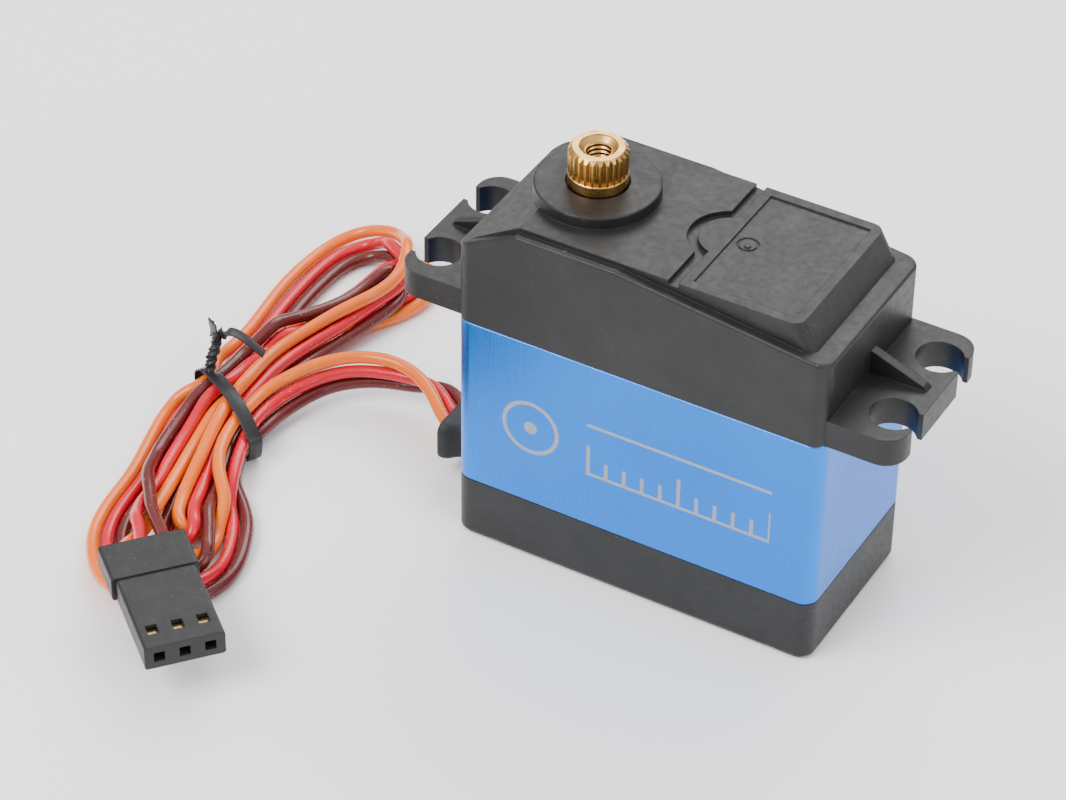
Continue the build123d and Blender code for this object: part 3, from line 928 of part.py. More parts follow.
ground_path = [
    (-6.20, 1.50, 4.20), (-8.00, 1.50, 4.20), (-9.00, 1.50, 4.20), (-10.00, 1.50, 4.20), (-11.00, 1.50, 4.20),
    (-12.00, 1.50, 4.20), (-13.00, 1.50, 4.20), (-14.00, 1.50, 4.20), (-14.90, 1.72, 4.22), (-15.70, 2.19, 4.24),
    (-16.48, 2.71, 4.26), (-17.25, 3.29, 4.25), (-18.02, 3.86, 4.20), (-18.81, 4.37, 4.07), (-19.63, 4.76, 3.87),
    (-20.48, 5.00, 3.60), (-21.35, 5.11, 3.28), (-22.25, 5.09, 2.95), (-23.16, 4.98, 2.65), (-24.11, 4.75, 2.53),
    (-25.08, 4.51, 2.50), (-26.04, 4.23, 2.50), (-26.98, 3.90, 2.50), (-27.90, 3.49, 2.46), (-28.79, 3.04, 2.40),
    (-29.65, 2.52, 2.31), (-30.46, 1.95, 2.22), (-31.21, 1.30, 2.12), (-31.86, 0.56, 2.01), (-32.42, -0.26, 1.90),
    (-32.88, -1.14, 1.79), (-33.27, -2.06, 1.69), (-33.61, -3.01, 1.59), (-33.91, -3.97, 1.50), (-34.14, -4.96, 1.43),
    (-34.27, -5.98, 1.41), (-34.31, -6.99, 1.44), (-34.31, -8.00, 1.46), (-34.35, -8.98, 1.46), (-34.45, -9.91, 1.44),
    (-34.58, -10.80, 1.40), (-34.48, -11.75, 1.32), (-34.17, -12.75, 1.21), (-33.82, -13.74, 1.11), (-33.45, -14.68, 1.03),
    (-33.04, -15.58, 0.95), (-32.55, -16.41, 0.90), (-31.90, -17.11, 0.86), (-31.14, -17.70, 0.83), (-30.37, -18.35, 0.81),
    (-29.63, -19.07, 0.80), (-28.89, -19.81, 0.80), (-28.18, -20.63, 0.83), (-27.57, -21.53, 0.86), (-27.05, -22.46, 0.90),
    (-26.59, -23.40, 0.91), (-26.16, -24.34, 0.91), (-25.77, -25.27, 0.90), (-25.43, -26.21, 0.88), (-25.16, -27.16, 0.85),
    (-24.98, -28.14, 0.82), (-24.91, -29.14, 0.80), (-24.98, -30.14, 0.79), (-25.20, -31.12, 0.79), (-25.51, -32.09, 0.80),
    (-25.92, -33.02, 0.81), (-26.39, -33.92, 0.82), (-26.95, -34.75, 0.82), (-27.59, -35.51, 0.82), (-28.32, -36.14, 0.80),
    (-29.16, -36.57, 0.79), (-30.06, -36.73, 0.78), (-30.95, -36.58, 0.78), (-31.77, -36.16, 0.78), (-32.51, -35.57, 0.78),
    (-33.19, -34.88, 0.78), (-33.86, -34.16, 0.78), (-34.52, -33.42, 0.78), (-35.16, -32.67, 0.78), (-35.78, -31.90, 0.78),
    (-36.37, -31.12, 0.78), (-36.92, -30.32, 0.79), (-37.41, -29.51, 0.81), (-37.85, -28.67, 0.86), (-38.22, -27.80, 0.90),
    (-38.52, -26.88, 0.91), (-38.75, -25.92, 0.91), (-38.93, -24.94, 0.88), (-39.06, -23.94, 0.84), (-39.18, -22.94, 0.82),
    (-39.29, -21.94, 0.82), (-39.42, -20.95, 0.83), (-39.58, -19.96, 0.84), (-39.77, -18.99, 0.87), (-39.98, -18.03, 0.90),
    (-40.20, -17.07, 0.96), (-40.43, -16.11, 1.02), (-40.67, -15.15, 1.10), (-40.94, -14.19, 1.18), (-41.23, -13.22, 1.26),
    (-41.52, -12.25, 1.33), (-41.76, -11.27, 1.40), (-41.92, -10.31, 1.45), (-41.89, -9.38, 1.49), (-41.67, -8.47, 1.54),
    (-41.39, -7.57, 1.56), (-41.11, -6.64, 1.55), (-41.00, -5.60, 1.48), (-41.11, -4.47, 1.38), (-41.42, -3.39, 1.27),
    (-41.72, -2.35, 1.16), (-41.97, -1.32, 1.06), (-42.15, -0.28, 0.98), (-42.24, 0.80, 0.92), (-42.25, 1.88, 0.87),
    (-42.19, 2.93, 0.84), (-42.12, 3.94, 0.82), (-42.08, 4.94, 0.80), (-42.11, 5.93, 0.79), (-42.20, 6.92, 0.79),
    (-42.32, 7.90, 0.79), (-42.45, 8.89, 0.80), (-42.58, 9.89, 0.80), (-42.69, 10.88, 0.80), (-42.79, 11.88, 0.80),
    (-42.87, 12.88, 0.80), (-42.93, 13.88, 0.80), (-42.96, 14.88, 0.80), (-42.98, 15.89, 0.79), (-42.98, 16.90, 0.79),
    (-42.96, 17.90, 0.78), (-42.90, 18.92, 0.78), (-42.81, 19.92, 0.78), (-42.64, 20.92, 0.78), (-42.35, 21.87, 0.78),
    (-41.88, 22.72, 0.81), (-41.20, 23.38, 0.91), (-40.34, 23.72, 1.15), (-39.40, 23.74, 1.53), (-38.49, 23.52, 2.03),
    (-37.58, 23.16, 2.23), (-36.93, 22.68, 1.78), (-36.53, 21.92, 1.37), (-36.26, 20.90, 1.49), (-35.93, 19.86, 1.90),
    (-35.04, 19.26, 2.26), (-34.12, 18.78, 2.30), (-33.50, 18.08, 2.22), (-33.23, 17.17, 2.20), (-33.20, 16.18, 2.24),
    (-33.32, 15.18, 2.25), (-33.54, 14.18, 2.18), (-33.81, 13.21, 2.06), (-34.07, 12.26, 1.95), (-34.32, 11.30, 1.86),
    (-34.56, 10.34, 1.80), (-34.80, 9.37, 1.77), (-35.04, 8.40, 1.75), (-35.28, 7.43, 1.74), (-35.53, 6.46, 1.73),
    (-35.78, 5.49, 1.72), (-36.00, 4.52, 1.72), (-36.19, 3.54, 1.73), (-36.35, 2.57, 1.77), (-36.49, 1.59, 1.81),
    (-36.60, 0.62, 1.84), (-36.68, -0.35, 1.84), (-36.73, -1.33, 1.84), (-36.76, -2.31, 1.83), (-36.76, -3.30, 1.84),
    (-36.72, -4.29, 1.85), (-36.66, -5.29, 1.88), (-36.61, -6.28, 1.88), (-36.53, -7.28, 1.90), (-36.38, -8.27, 1.95),
    (-36.19, -9.28, 2.03), (-36.00, -10.28, 2.11), (-35.82, -11.27, 2.19), (-35.58, -12.23, 2.21), (-35.30, -13.16, 2.16),
    (-34.97, -14.06, 2.07), (-34.61, -14.95, 1.98), (-34.23, -15.84, 1.88), (-33.83, -16.75, 1.79), (-33.45, -17.69, 1.73),
    (-33.08, -18.67, 1.72), (-32.71, -19.65, 1.79), (-32.35, -20.62, 1.93), (-31.99, -21.57, 2.17), (-31.61, -22.48, 2.38),
    (-31.10, -23.34, 2.43), (-30.49, -24.16, 2.40), (-29.85, -24.99, 2.40), (-29.32, -25.90, 2.48), (-28.77, -26.80, 2.58),
    (-28.19, -27.66, 2.59), (-27.77, -28.47, 2.36), (-27.67, -29.20, 1.93), (-27.93, -29.81, 1.45), (-28.50, -30.28, 1.12),
    (-29.24, -30.52, 0.90), (-30.07, -30.42, 0.82), (-30.89, -29.98, 0.85), (-31.68, -29.39, 0.96), (-32.48, -28.77, 1.12),
    (-33.31, -28.14, 1.28), (-34.07, -27.40, 1.37), (-34.60, -26.48, 1.30), (-34.95, -25.47, 1.13), (-35.33, -24.47, 0.98),
    (-35.75, -23.50, 0.87), (-36.16, -22.53, 0.82), (-36.54, -21.57, 0.80), (-36.88, -20.60, 0.82), (-37.20, -19.66, 0.84),
    (-37.54, -18.73, 0.88), (-37.90, -17.83, 0.92), (-38.27, -16.92, 0.98), (-38.64, -16.02, 1.05), (-39.00, -15.11, 1.13),
    (-39.35, -14.21, 1.22), (-39.64, -13.32, 1.31), (-39.92, -12.45, 1.40), (-40.16, -11.60, 1.48), (-40.37, -10.75, 1.62),
    (-40.52, -9.91, 1.95), (-40.57, -9.06, 2.35), (-40.54, -8.12, 2.66), (-40.49, -7.11, 2.83), (-40.45, -6.05, 2.86),
    (-40.48, -4.98, 2.78), (-40.57, -3.85, 2.63), (-40.73, -2.71, 2.42), (-40.85, -1.57, 2.17), (-40.90, -0.46, 1.87),
    (-40.89, 0.60, 1.56), (-40.83, 1.63, 1.27), (-40.73, 2.65, 1.03), (-40.64, 3.68, 0.87), (-40.54, 4.70, 0.81),
    (-40.27, 5.71, 0.79), (-39.91, 6.68, 0.79), (-39.61, 7.65, 0.79), (-39.34, 8.64, 0.78), (-39.07, 9.63, 0.78),
    (-38.79, 10.61, 0.78), (-38.49, 11.57, 0.78), (-38.17, 12.52, 0.78), (-37.83, 13.45, 0.78), (-37.48, 14.38, 0.78),
    (-37.12, 15.32, 0.78), (-36.73, 16.25, 0.79), (-36.27, 17.18, 0.79), (-35.75, 18.09, 0.79), (-35.22, 18.94, 0.77),
    (-34.87, 19.67, 0.77), (-34.73, 20.20, 1.05), (-34.64, 20.58, 1.48), (-34.71, 20.82, 1.93), (-34.90, 20.88, 2.41),
    (-35.19, 20.79, 2.85), (-35.58, 20.52, 3.20), (-35.99, 20.08, 3.48), (-36.35, 19.39, 3.55), (-36.61, 18.52, 3.44),
    (-36.80, 17.57, 3.27), (-36.95, 16.58, 3.14), (-37.10, 15.59, 3.08), (-37.26, 14.58, 3.09), (-37.45, 13.58, 3.16),
    (-37.67, 12.58, 3.27), (-37.93, 11.60, 3.38), (-38.23, 10.62, 3.51), (-38.58, 9.68, 3.63), (-38.98, 8.76, 3.73),
    (-39.41, 7.86, 3.81), (-39.84, 6.96, 3.96), (-40.21, 6.01, 4.22), (-40.53, 5.02, 4.57), (-40.74, 3.94, 4.80),
    (-40.81, 2.89, 4.67), (-40.93, 1.94, 4.32), (-41.21, 1.05, 4.02), (-41.51, 0.16, 3.78), (-41.63, -0.79, 3.60),
    (-41.59, -1.80, 3.58), (-41.49, -2.84, 3.71), (-41.39, -3.90, 3.88), (-41.32, -4.96, 4.01), (-41.36, -6.00, 4.05),
    (-41.57, -6.98, 3.91), (-41.89, -7.88, 3.65), (-42.12, -8.76, 3.38), (-42.18, -9.66, 3.16), (-42.10, -10.59, 3.02),
    (-41.96, -11.54, 2.92), (-41.81, -12.52, 2.84), (-41.68, -13.50, 2.78), (-41.54, -14.49, 2.72), (-41.40, -15.49, 2.66),
    (-41.25, -16.48, 2.62), (-41.07, -17.47, 2.60), (-40.78, -18.42, 2.67), (-40.43, -19.33, 2.84), (-40.12, -20.24, 3.05),
    (-39.77, -21.13, 3.30), (-39.33, -21.99, 3.57), (-38.78, -22.79, 3.82), (-38.16, -23.57, 4.00), (-37.52, -24.32, 4.10),
    (-36.91, -25.08, 4.14), (-36.34, -25.85, 4.21), (-35.77, -26.61, 4.31), (-35.14, -27.33, 4.40), (-34.48, -28.02, 4.53),
    (-33.79, -28.70, 4.69), (-33.09, -29.37, 4.88), (-32.37, -30.03, 5.08), (-31.65, -30.70, 5.31), (-30.92, -31.36, 5.56),
    (-30.18, -32.03, 5.82), (-29.43, -32.68, 5.95), (-28.67, -33.33, 5.95), (-27.53, -34.30, 5.95),
]


def conductor(points):
    # circles normal to the centre line, turned as little as possible from one to the next
    p = [Vector(*q) for q in points]
    side = Vector(0, 0, 1)
    with BuildPart() as piece:
        for i, q in enumerate(p):
            along = (p[min(i + 1, len(p) - 1)] - p[max(i - 1, 0)]).normalized()
            side = (side - along * side.dot(along)).normalized()
            with BuildSketch(Plane(origin=q, x_dir=side, z_dir=along)):
                Circle(wire_r)
        loft(ruled=True)
    return piece


wire_signal = conductor(signal_path)
save(wire_signal, "wire_signal", (0.95, 0.38, 0.03))
wire_power = conductor(power_path)
save(wire_power, "wire_power", (0.85, 0.03, 0.08))
wire_ground = conductor(ground_path)
save(wire_ground, "wire_ground", (0.28, 0.07, 0.06))

# the plug lies on top of the coil, its cable end at plug_at
plug_at = (-31.46, -34.29)
plug_x = Vector(0.76088, -0.64889, 0)
plug_y = Vector(0.64889, 0.76088, 0)
plug_mid = (plug_z0 + plug_z1) / 2
plug_plane = Plane(origin=(plug_at[0], plug_at[1], plug_mid), x_dir=plug_x, z_dir=(0, 0, 1))
# section planes across the plug: x is its width, z runs towards the mating end
plug_face = Plane(origin=(plug_at[0], plug_at[1], plug_mid), x_dir=plug_y, z_dir=plug_x)
rows = [(-pitch, 0), (0, 0), (pitch, 0)]

with BuildPart() as connector_housing:
    with BuildSketch(plug_face):
        RectangleRounded(plug_w2, plug_z1 - plug_z0, 0.35)
    extrude(amount=5.2)
    with BuildSketch(plug_face.offset(5.2)):
        RectangleRounded(plug_w - 0.5, plug_z1 - plug_z0 - 0.4, 0.2)
    extrude(amount=0.35)
    with BuildSketch(plug_face.offset(5.55)):
        RectangleRounded(plug_w, plug_z1 - plug_z0, 0.3)
    extrude(amount=plug_l - 5.55)
    # wire entries, contact chambers and mating mouths
    with BuildSketch(plug_face.offset(-0.5)):
        with Locations(*rows):
            Circle(wire_r + 0.08)
    extrude(amount=4.2, mode=Mode.SUBTRACT)
    with BuildSketch(plug_face.offset(3.7)):
        with Locations(*rows):
            Rectangle(1.84, 1.84)
    extrude(amount=11.2, mode=Mode.SUBTRACT)
    with BuildSketch(plug_face.offset(14.5)):
        with Locations(*rows):
            Rectangle(1.1, 1.1)
    extrude(amount=2, mode=Mode.SUBTRACT)
    with BuildSketch(plug_face.offset(-0.5)):
        RectangleRounded(7.5, 2.15, 0.5)
    extrude(amount=1.8, mode=Mode.SUBTRACT)
    # latch windows in the upper face
    with BuildSketch(plug_plane.offset(0.5)):
        with Locations(*[(13.35, v) for v in (-pitch, 0, pitch)]):
            Rectangle(1.3, 1.1)
    extrude(amount=2, mode=Mode.SUBTRACT)
save(connector_housing, "connector_housing", BLACK)

with BuildPart() as connector_terminals:
    with BuildSketch(plug_face.offset(6.6)):
        with Locations(*rows):
            Rectangle(1.7, 1.7)
            Rectangle(0.8, 0.8, mode=Mode.SUBTRACT)
    extrude(amount=7.9)
    with BuildSketch(plug_face.offset(3.9)):
        with Locations(*rows):
            Rectangle(1.5, 1.3)
    extrude(amount=2.8)
save(connector_terminals, "connector_terminals", BRASS)

# twist tie: a band gathered round the lead, its ends twisted together on top
tie_at = (-39.34, -8.09)
tie_angle = math.radians(-30.91)
tie_outline = [
    (1.97, 5.30), (-1.42, 5.10), (-3.21, 4.85), (-4.93, 3.79), (-5.17, 3.35), (-5.12, 1.57),
    (-4.89, 1.13), (-4.45, 0.90), (-3.46, 0.65), (6.52, 0.43), (6.96, 0.67), (7.19, 1.11),
    (7.51, 2.74), (7.37, 3.21), (7.13, 3.45), (4.75, 4.78),
]
tie_x = Vector(math.cos(tie_angle), math.sin(tie_angle), 0)
tie_plane = Plane(
    origin=(tie_at[0], tie_at[1], 0),
    x_dir=tie_x,
    z_dir=Vector(math.sin(tie_angle), -math.cos(tie_angle), 0),
)
knot_path = [(-42.08, -6.44, 4.97), (-42.03, -5.94, 6.47), (-41.95, -5.30, 7.60), (-41.95, -5.05, 8.70)]
tail_path = [(-41.9, -5.0, 8.5), (-40.7, -4.2, 9.15), (-39.2, -3.9, 8.7), (-37.4, -3.5, 7.3)]
stub_path = [(-41.95, -5.15, 8.0), (-42.45, -4.9, 10.2)]

with BuildPart() as twist_tie:
    with BuildSketch(tie_plane):
        with BuildLine():
            Polyline(*tie_outline, close=True)
        make_face()
        offset(amount=tie_t)
        with BuildLine():
            Polyline(*tie_outline, close=True)
        make_face(mode=Mode.SUBTRACT)
    extrude(amount=tie_w / 2, both=True)
    with BuildLine() as knot_line:
        Spline(*knot_path)
    with BuildSketch(Plane(origin=knot_line.line @ 0, z_dir=knot_line.line % 0)):
        Circle(0.72)
    sweep(path=knot_line.line)
    with BuildLine() as stub_line:
        Line(*stub_path)
    with BuildSketch(Plane(origin=stub_line.line @ 0, x_dir=(0.8, 0.6, 0), z_dir=stub_line.line % 0)):
        RectangleRounded(1.7, 1.1, 0.2)
    sweep(path=stub_line.line)
    with BuildLine() as tail_line:
        Spline(*tail_path)
    with BuildSketch(Plane(origin=tail_line.line @ 0, x_dir=(0.5, -0.86, 0), z_dir=tail_line.line % 0)):
        Rectangle(1.3, 0.5)
    sweep(path=tail_line.line)
save(twist_tie, "twist_tie", (0.04, 0.04, 0.04))
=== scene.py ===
import json
import math

import bpy
import numpy as np
from mathutils import Matrix, Vector


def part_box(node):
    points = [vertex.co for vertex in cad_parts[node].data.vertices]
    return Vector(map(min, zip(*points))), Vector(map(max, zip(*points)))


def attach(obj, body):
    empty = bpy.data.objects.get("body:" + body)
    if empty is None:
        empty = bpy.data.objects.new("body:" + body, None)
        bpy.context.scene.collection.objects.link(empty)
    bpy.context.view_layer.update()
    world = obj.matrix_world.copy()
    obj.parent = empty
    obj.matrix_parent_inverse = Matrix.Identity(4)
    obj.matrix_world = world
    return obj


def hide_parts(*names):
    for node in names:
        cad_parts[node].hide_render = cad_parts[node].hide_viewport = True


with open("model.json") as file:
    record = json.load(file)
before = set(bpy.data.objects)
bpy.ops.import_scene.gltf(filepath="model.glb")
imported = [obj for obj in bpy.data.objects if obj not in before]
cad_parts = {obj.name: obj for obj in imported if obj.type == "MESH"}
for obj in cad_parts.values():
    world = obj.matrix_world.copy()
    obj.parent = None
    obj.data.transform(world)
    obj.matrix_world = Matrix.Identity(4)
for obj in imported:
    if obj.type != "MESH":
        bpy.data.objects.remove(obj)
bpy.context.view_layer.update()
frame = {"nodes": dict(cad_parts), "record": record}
MM = 0.001
record = frame["record"]
colour_of = {m["slot"]: tuple(m["base_color"][:3]) for m in record["materials"]}


# ---------------------------------------------------------------------------
# material building
# ---------------------------------------------------------------------------
class Look:
    """A procedural material: thin helpers round one node tree. Lengths are in metres."""

    def __init__(self, name):
        self.m = bpy.data.materials.new(name)
        self.m.use_nodes = True
        self.t = self.m.node_tree
        self.t.nodes.clear()
        self.out = self.t.nodes.new("ShaderNodeOutputMaterial")
        self.b = self.t.nodes.new("ShaderNodeBsdfPrincipled")
        self.t.links.new(self.b.outputs[0], self.out.inputs[0])
        self.coord = self.t.nodes.new("ShaderNodeTexCoord").outputs["Object"]
        self.normal = None

    def put(self, socket, value):
        if isinstance(value, bpy.types.NodeSocket):
            self.t.links.new(value, socket)
        elif value is not None:
            socket.default_value = value

    def set(self, **kw):
        names = {"color": "Base Color", "rough": "Roughness", "metal": "Metallic", "coat": "Coat Weight", "coat_rough": "Coat Roughness",
                 "spec": "Specular IOR Level", "sss": "Subsurface Weight", "sss_scale": "Subsurface Scale", "sheen": "Sheen Weight",
                 "ior": "IOR", "aniso": "Anisotropic"}
        for k, v in kw.items():
            if k == "color" and not isinstance(v, bpy.types.NodeSocket):
                v = (*v[:3], 1.0)
            self.put(self.b.inputs[names[k]], v)
        return self

    def scaled(self, sx, sy, sz, vec=None):
        n = self.t.nodes.new("ShaderNodeMapping")
        n.vector_type = "POINT"
        n.inputs["Scale"].default_value = (sx, sy, sz)
        self.put(n.inputs["Vector"], vec or self.coord)
        return n.outputs[0]

    def noise(self, scale, detail=3.0, rough=0.55, vec=None, distort=0.0):
        n = self.t.nodes.new("ShaderNodeTexNoise")
        n.inputs["Scale"].default_value = scale
        n.inputs["Detail"].default_value = detail
        n.inputs["Roughness"].default_value = rough
        n.inputs["Distortion"].default_value = distort
        self.put(n.inputs["Vector"], vec or self.coord)
        return n.outputs["Fac"]

    def cells(self, scale, vec=None, feature="F1"):
        n = self.t.nodes.new("ShaderNodeTexVoronoi")
        n.feature = feature
        n.inputs["Scale"].default_value = scale
        self.put(n.inputs["Vector"], vec or self.coord)
        return n.outputs["Distance"]

    def span(self, value, a, b, c=0.0, d=1.0, smooth=False):
        n = self.t.nodes.new("ShaderNodeMapRange")
        n.clamp = True
        n.interpolation_type = "SMOOTHSTEP" if smooth else "LINEAR"
        self.put(n.inputs["Value"], value)
        for key, v in zip(("From Min", "From Max", "To Min", "To Max"), (a, b, c, d)):
            self.put(n.inputs[key], v)
        return n.outputs["Result"]

    def calc(self, op, a, b=None, c=None):
        n = self.t.nodes.new("ShaderNodeMath")
        n.operation = op
        for i, v in enumerate((a, b, c)):
            if v is not None:
                self.put(n.inputs[i], v)
        return n.outputs[0]

    def axes(self, vec=None):
        n = self.t.nodes.new("ShaderNodeSeparateXYZ")
        self.put(n.inputs[0], vec or self.coord)
        return n.outputs[0], n.outputs[1], n.outputs[2]

    def join(self, x, y, z):
        n = self.t.nodes.new("ShaderNodeCombineXYZ")
        for i, v in enumerate((x, y, z)):
            self.put(n.inputs[i], v)
        return n.outputs[0]

    def mix(self, fac, a, b):
        n = self.t.nodes.new("ShaderNodeMix")
        n.data_type = "RGBA"
        self.put(n.inputs[0], fac)
        self.put(n.inputs[6], (*a[:3], 1.0) if not isinstance(a, bpy.types.NodeSocket) else a)
        self.put(n.inputs[7], (*b[:3], 1.0) if not isinstance(b, bpy.types.NodeSocket) else b)
        return n.outputs[2]

    def soften(self, radius):
        """Rounds the edges of the machined or moulded solid in the shading only."""
        n = self.t.nodes.new("ShaderNodeBevel")
        n.samples = 4
        n.inputs["Radius"].default_value = radius
        self.normal = n.outputs[0]
        return self

    def bump(self, height, depth, strength=1.0):
        n = self.t.nodes.new("ShaderNodeBump")
        n.inputs["Strength"].default_value = strength
        n.inputs["Distance"].default_value = depth
        self.put(n.inputs["Height"], height)
        if self.normal is not None:
            self.put(n.inputs["Normal"], self.normal)
        self.normal = n.outputs[0]
        return self

    def done(self):
        if self.normal is not None:
            self.put(self.b.inputs["Normal"], self.normal)
        return self.m


def shade(c, k):
    return tuple(min(1.0, v * k) for v in c[:3])


def moulded(name, base, rough=0.46, grain=5200, depth=0.000016, dust=0.25, edge=0.00014):
    """Spark-textured injection moulding: fine grain, cloudy gloss, and a few specks of dust."""
    k = Look(name)
    cloud = k.noise(260, 4, 0.6)
    fine = k.noise(grain, 3, 0.6)
    mid = k.noise(1400, 3, 0.5)
    col = k.mix(k.span(cloud, 0.3, 0.7), shade(base, 0.82), shade(base, 1.22))
    speck = k.calc("MULTIPLY", k.span(k.noise(3100, 1, 0.4), 0.735, 0.76), k.span(k.noise(90, 2, 0.5), 0.42, 0.6))
    col = k.mix(k.calc("MULTIPLY", speck, dust), col, (0.42, 0.41, 0.39))
    rub = k.span(k.noise(1.0, 4, 0.6, k.scaled(500, 120, 700)), 0.55, 0.75)
    r = k.calc("ADD", k.span(mid, 0.25, 0.75, rough - 0.05, rough + 0.09), k.calc("MULTIPLY", rub, -0.06))
    k.set(color=col, rough=r, spec=0.32)
    if edge:
        k.soften(edge)
    k.bump(fine, depth, 0.55).bump(k.noise(420, 2, 0.5), 0.00003, 0.2)
    return k.done()


def turned(name, base, cx=0.0, rough=0.24, metal=1.0, thread=False, tarnish=0.35, edge=0.00006):
    """Machined metal: lathe rings round the part's own axis, light stain, small scratches."""
    k = Look(name)
    x, y, z = k.axes()
    dx = k.calc("SUBTRACT", x, cx)
    r = k.calc("SQRT", k.calc("ADD", k.calc("MULTIPLY", dx, dx), k.calc("MULTIPLY", y, y)))
    ringed = k.noise(1.0, 4, 0.7, k.join(k.calc("MULTIPLY", r, 16000), 0.0, k.calc("MULTIPLY", z, 16000)))
    stain = k.noise(420, 5, 0.6, distort=0.4)
    scratch = k.span(k.noise(1.0, 2, 0.5, k.scaled(9000, 900, 2500)), 0.62, 0.7)
    col = k.mix(k.calc("MULTIPLY", k.span(stain, 0.4, 0.72), tarnish), base, shade(base, 0.55))
    col = k.mix(k.calc("MULTIPLY", scratch, 0.25), col, shade(base, 1.2))
    rr = k.calc("ADD", k.span(ringed, 0.3, 0.7, rough - 0.06, rough + 0.1), k.calc("MULTIPLY", k.span(stain, 0.4, 0.7), 0.12))
    k.set(color=col, rough=rr, metal=metal, aniso=0.35)
    k.soften(edge)
    k.bump(ringed, 0.000006, 0.5).bump(scratch, 0.000004, 0.4)
    if thread:
        turn = k.calc("DIVIDE", k.calc("ARCTAN2", y, dx), 2 * math.pi)
        pitch = k.calc("FRACT", k.calc("ADD", k.calc("DIVIDE", z, 0.0005), turn))
        tooth = k.calc("ABSOLUTE", k.calc("SUBTRACT", pitch, 0.5))
        inside = k.calc("MULTIPLY", k.span(r, 0.00128, 0.00136, 1, 0), k.span(z, 0.0368, 0.0371))
        k.bump(k.calc("MULTIPLY", tooth, inside), 0.00042, 1.0)
        # painted shade: the valleys of the thread inside the bore are darkened in the colour, standing in for the shade
        # in the grooves
        thread_valley_shade = k.calc("MULTIPLY", inside, k.span(tooth, 0.15, 0.4, 0.55, 0.0))
        k.set(color=k.mix(thread_valley_shade, col, shade(base, 0.22)))
    return k.done()


def rolled(name, base, rough=0.3, along=(1, 1, 14), metal=1.0, edge=0.00008):
    """Sheet or drawn metal: fine grain stretched along one direction, with smudges."""
    k = Look(name)
    a = [9000 / v for v in along]
    grain = k.noise(1.0, 4, 0.65, k.scaled(*a))
    smudge = k.noise(160, 4, 0.6)
    col = k.mix(k.span(grain, 0.3, 0.7), shade(base, 0.82), shade(base, 1.08))
    col = k.mix(k.calc("MULTIPLY", k.span(smudge, 0.5, 0.8), 0.3), col, shade(base, 0.6))
    k.set(color=col, rough=k.span(k.calc("ADD", grain, k.calc("MULTIPLY", smudge, 0.5)), 0.5, 1.1, rough - 0.06, rough + 0.16), metal=metal, aniso=0.3)
    k.soften(edge)
    k.bump(grain, 0.000005, 0.5)
    return k.done()


def anodised():
    """Bead-blasted, dyed and anodised aluminium, with a plain printed scale on its front face."""
    base = (0.0, 0.185, 0.72)
    k = Look("blue_anodised")
    x, y, z = k.axes()
    blast = k.noise(7600, 3, 0.65)
    drawn = k.noise(1.0, 4, 0.6, k.scaled(2600, 2600, 55))
    cloud = k.noise(70, 3, 0.5)
    col = k.mix(k.span(cloud, 0.3, 0.7), shade(base, 0.93), shade(base, 1.05))
    col = k.mix(k.calc("MULTIPLY", k.span(drawn, 0.55, 0.8), 0.25), col, (0.003, 0.23, 0.78))
    wear = k.calc("MULTIPLY", k.span(k.noise(5200, 1, 0.4), 0.72, 0.75), k.span(k.noise(110, 2, 0.5), 0.5, 0.62))
    col = k.mix(k.calc("MULTIPLY", wear, 0.4), col, (0.55, 0.68, 0.85))
    # print: a ruled scale between two lines, and a plain ring beside it
    mm = lambda v: v * MM
    front = k.span(y, -0.00992, -0.00990, 1, 0)

    def band(v, lo, hi, soft=0.00003):
        return k.calc("MULTIPLY", k.span(v, mm(lo) - soft, mm(lo) + soft), k.span(v, mm(hi) - soft, mm(hi) + soft, 1, 0))

    across = band(x, 4.9, 25.1)
    lines = k.calc("MAXIMUM", band(z, 19.55, 19.9), band(z, 13.5, 13.85))
    step = k.calc("MODULO", k.calc("ADD", x, 0.0951), 0.002)
    tick = k.calc("MULTIPLY", k.span(step, 0.00000, 0.00004), k.span(step, 0.0004, 0.00044, 1, 0))
    big = k.calc("MODULO", k.calc("ADD", x, 0.0951), 0.010)
    tall = k.calc("MULTIPLY", k.span(big, 0.00000, 0.00004), k.span(big, 0.0004, 0.00044, 1, 0))
    ticks = k.calc("MAXIMUM", k.calc("MULTIPLY", tick, band(z, 13.6, 15.6)), k.calc("MULTIPLY", tall, band(z, 13.6, 17.2)))
    rule = k.calc("MULTIPLY", k.calc("MAXIMUM", lines, ticks), across)
    rx = k.calc("SUBTRACT", x, mm(-1.4))
    rz = k.calc("SUBTRACT", z, mm(16.7))
    rad = k.calc("SQRT", k.calc("ADD", k.calc("MULTIPLY", rx, rx), k.calc("MULTIPLY", rz, rz)))
    ring = k.calc("MAXIMUM", band(rad, 2.75, 3.2), k.span(rad, 0.0007, 0.00076, 1, 0))
    worn = k.span(k.noise(1500, 4, 0.7), 0.28, 0.36)
    ink = k.calc("MULTIPLY", k.calc("MULTIPLY", k.calc("MAXIMUM", rule, ring), front), worn)
    ink = k.calc("MULTIPLY", ink, 0.85)
    col = k.mix(ink, col, (0.33, 0.33, 0.31))
    metal = k.span(ink, 0, 1, 0.88, 0.1)
    rough = k.calc("MAXIMUM", k.span(k.calc("ADD", blast, drawn), 0.7, 1.3, 0.22, 0.34), k.calc("MULTIPLY", ink, 0.6))
    k.set(color=col, rough=rough, metal=metal, coat=0.15, coat_rough=0.25)
    k.soften(0.00022)
    k.bump(blast, 0.000007, 0.5).bump(drawn, 0.000006, 0.25).bump(ink, 0.00001, 0.5)
    return k.done()


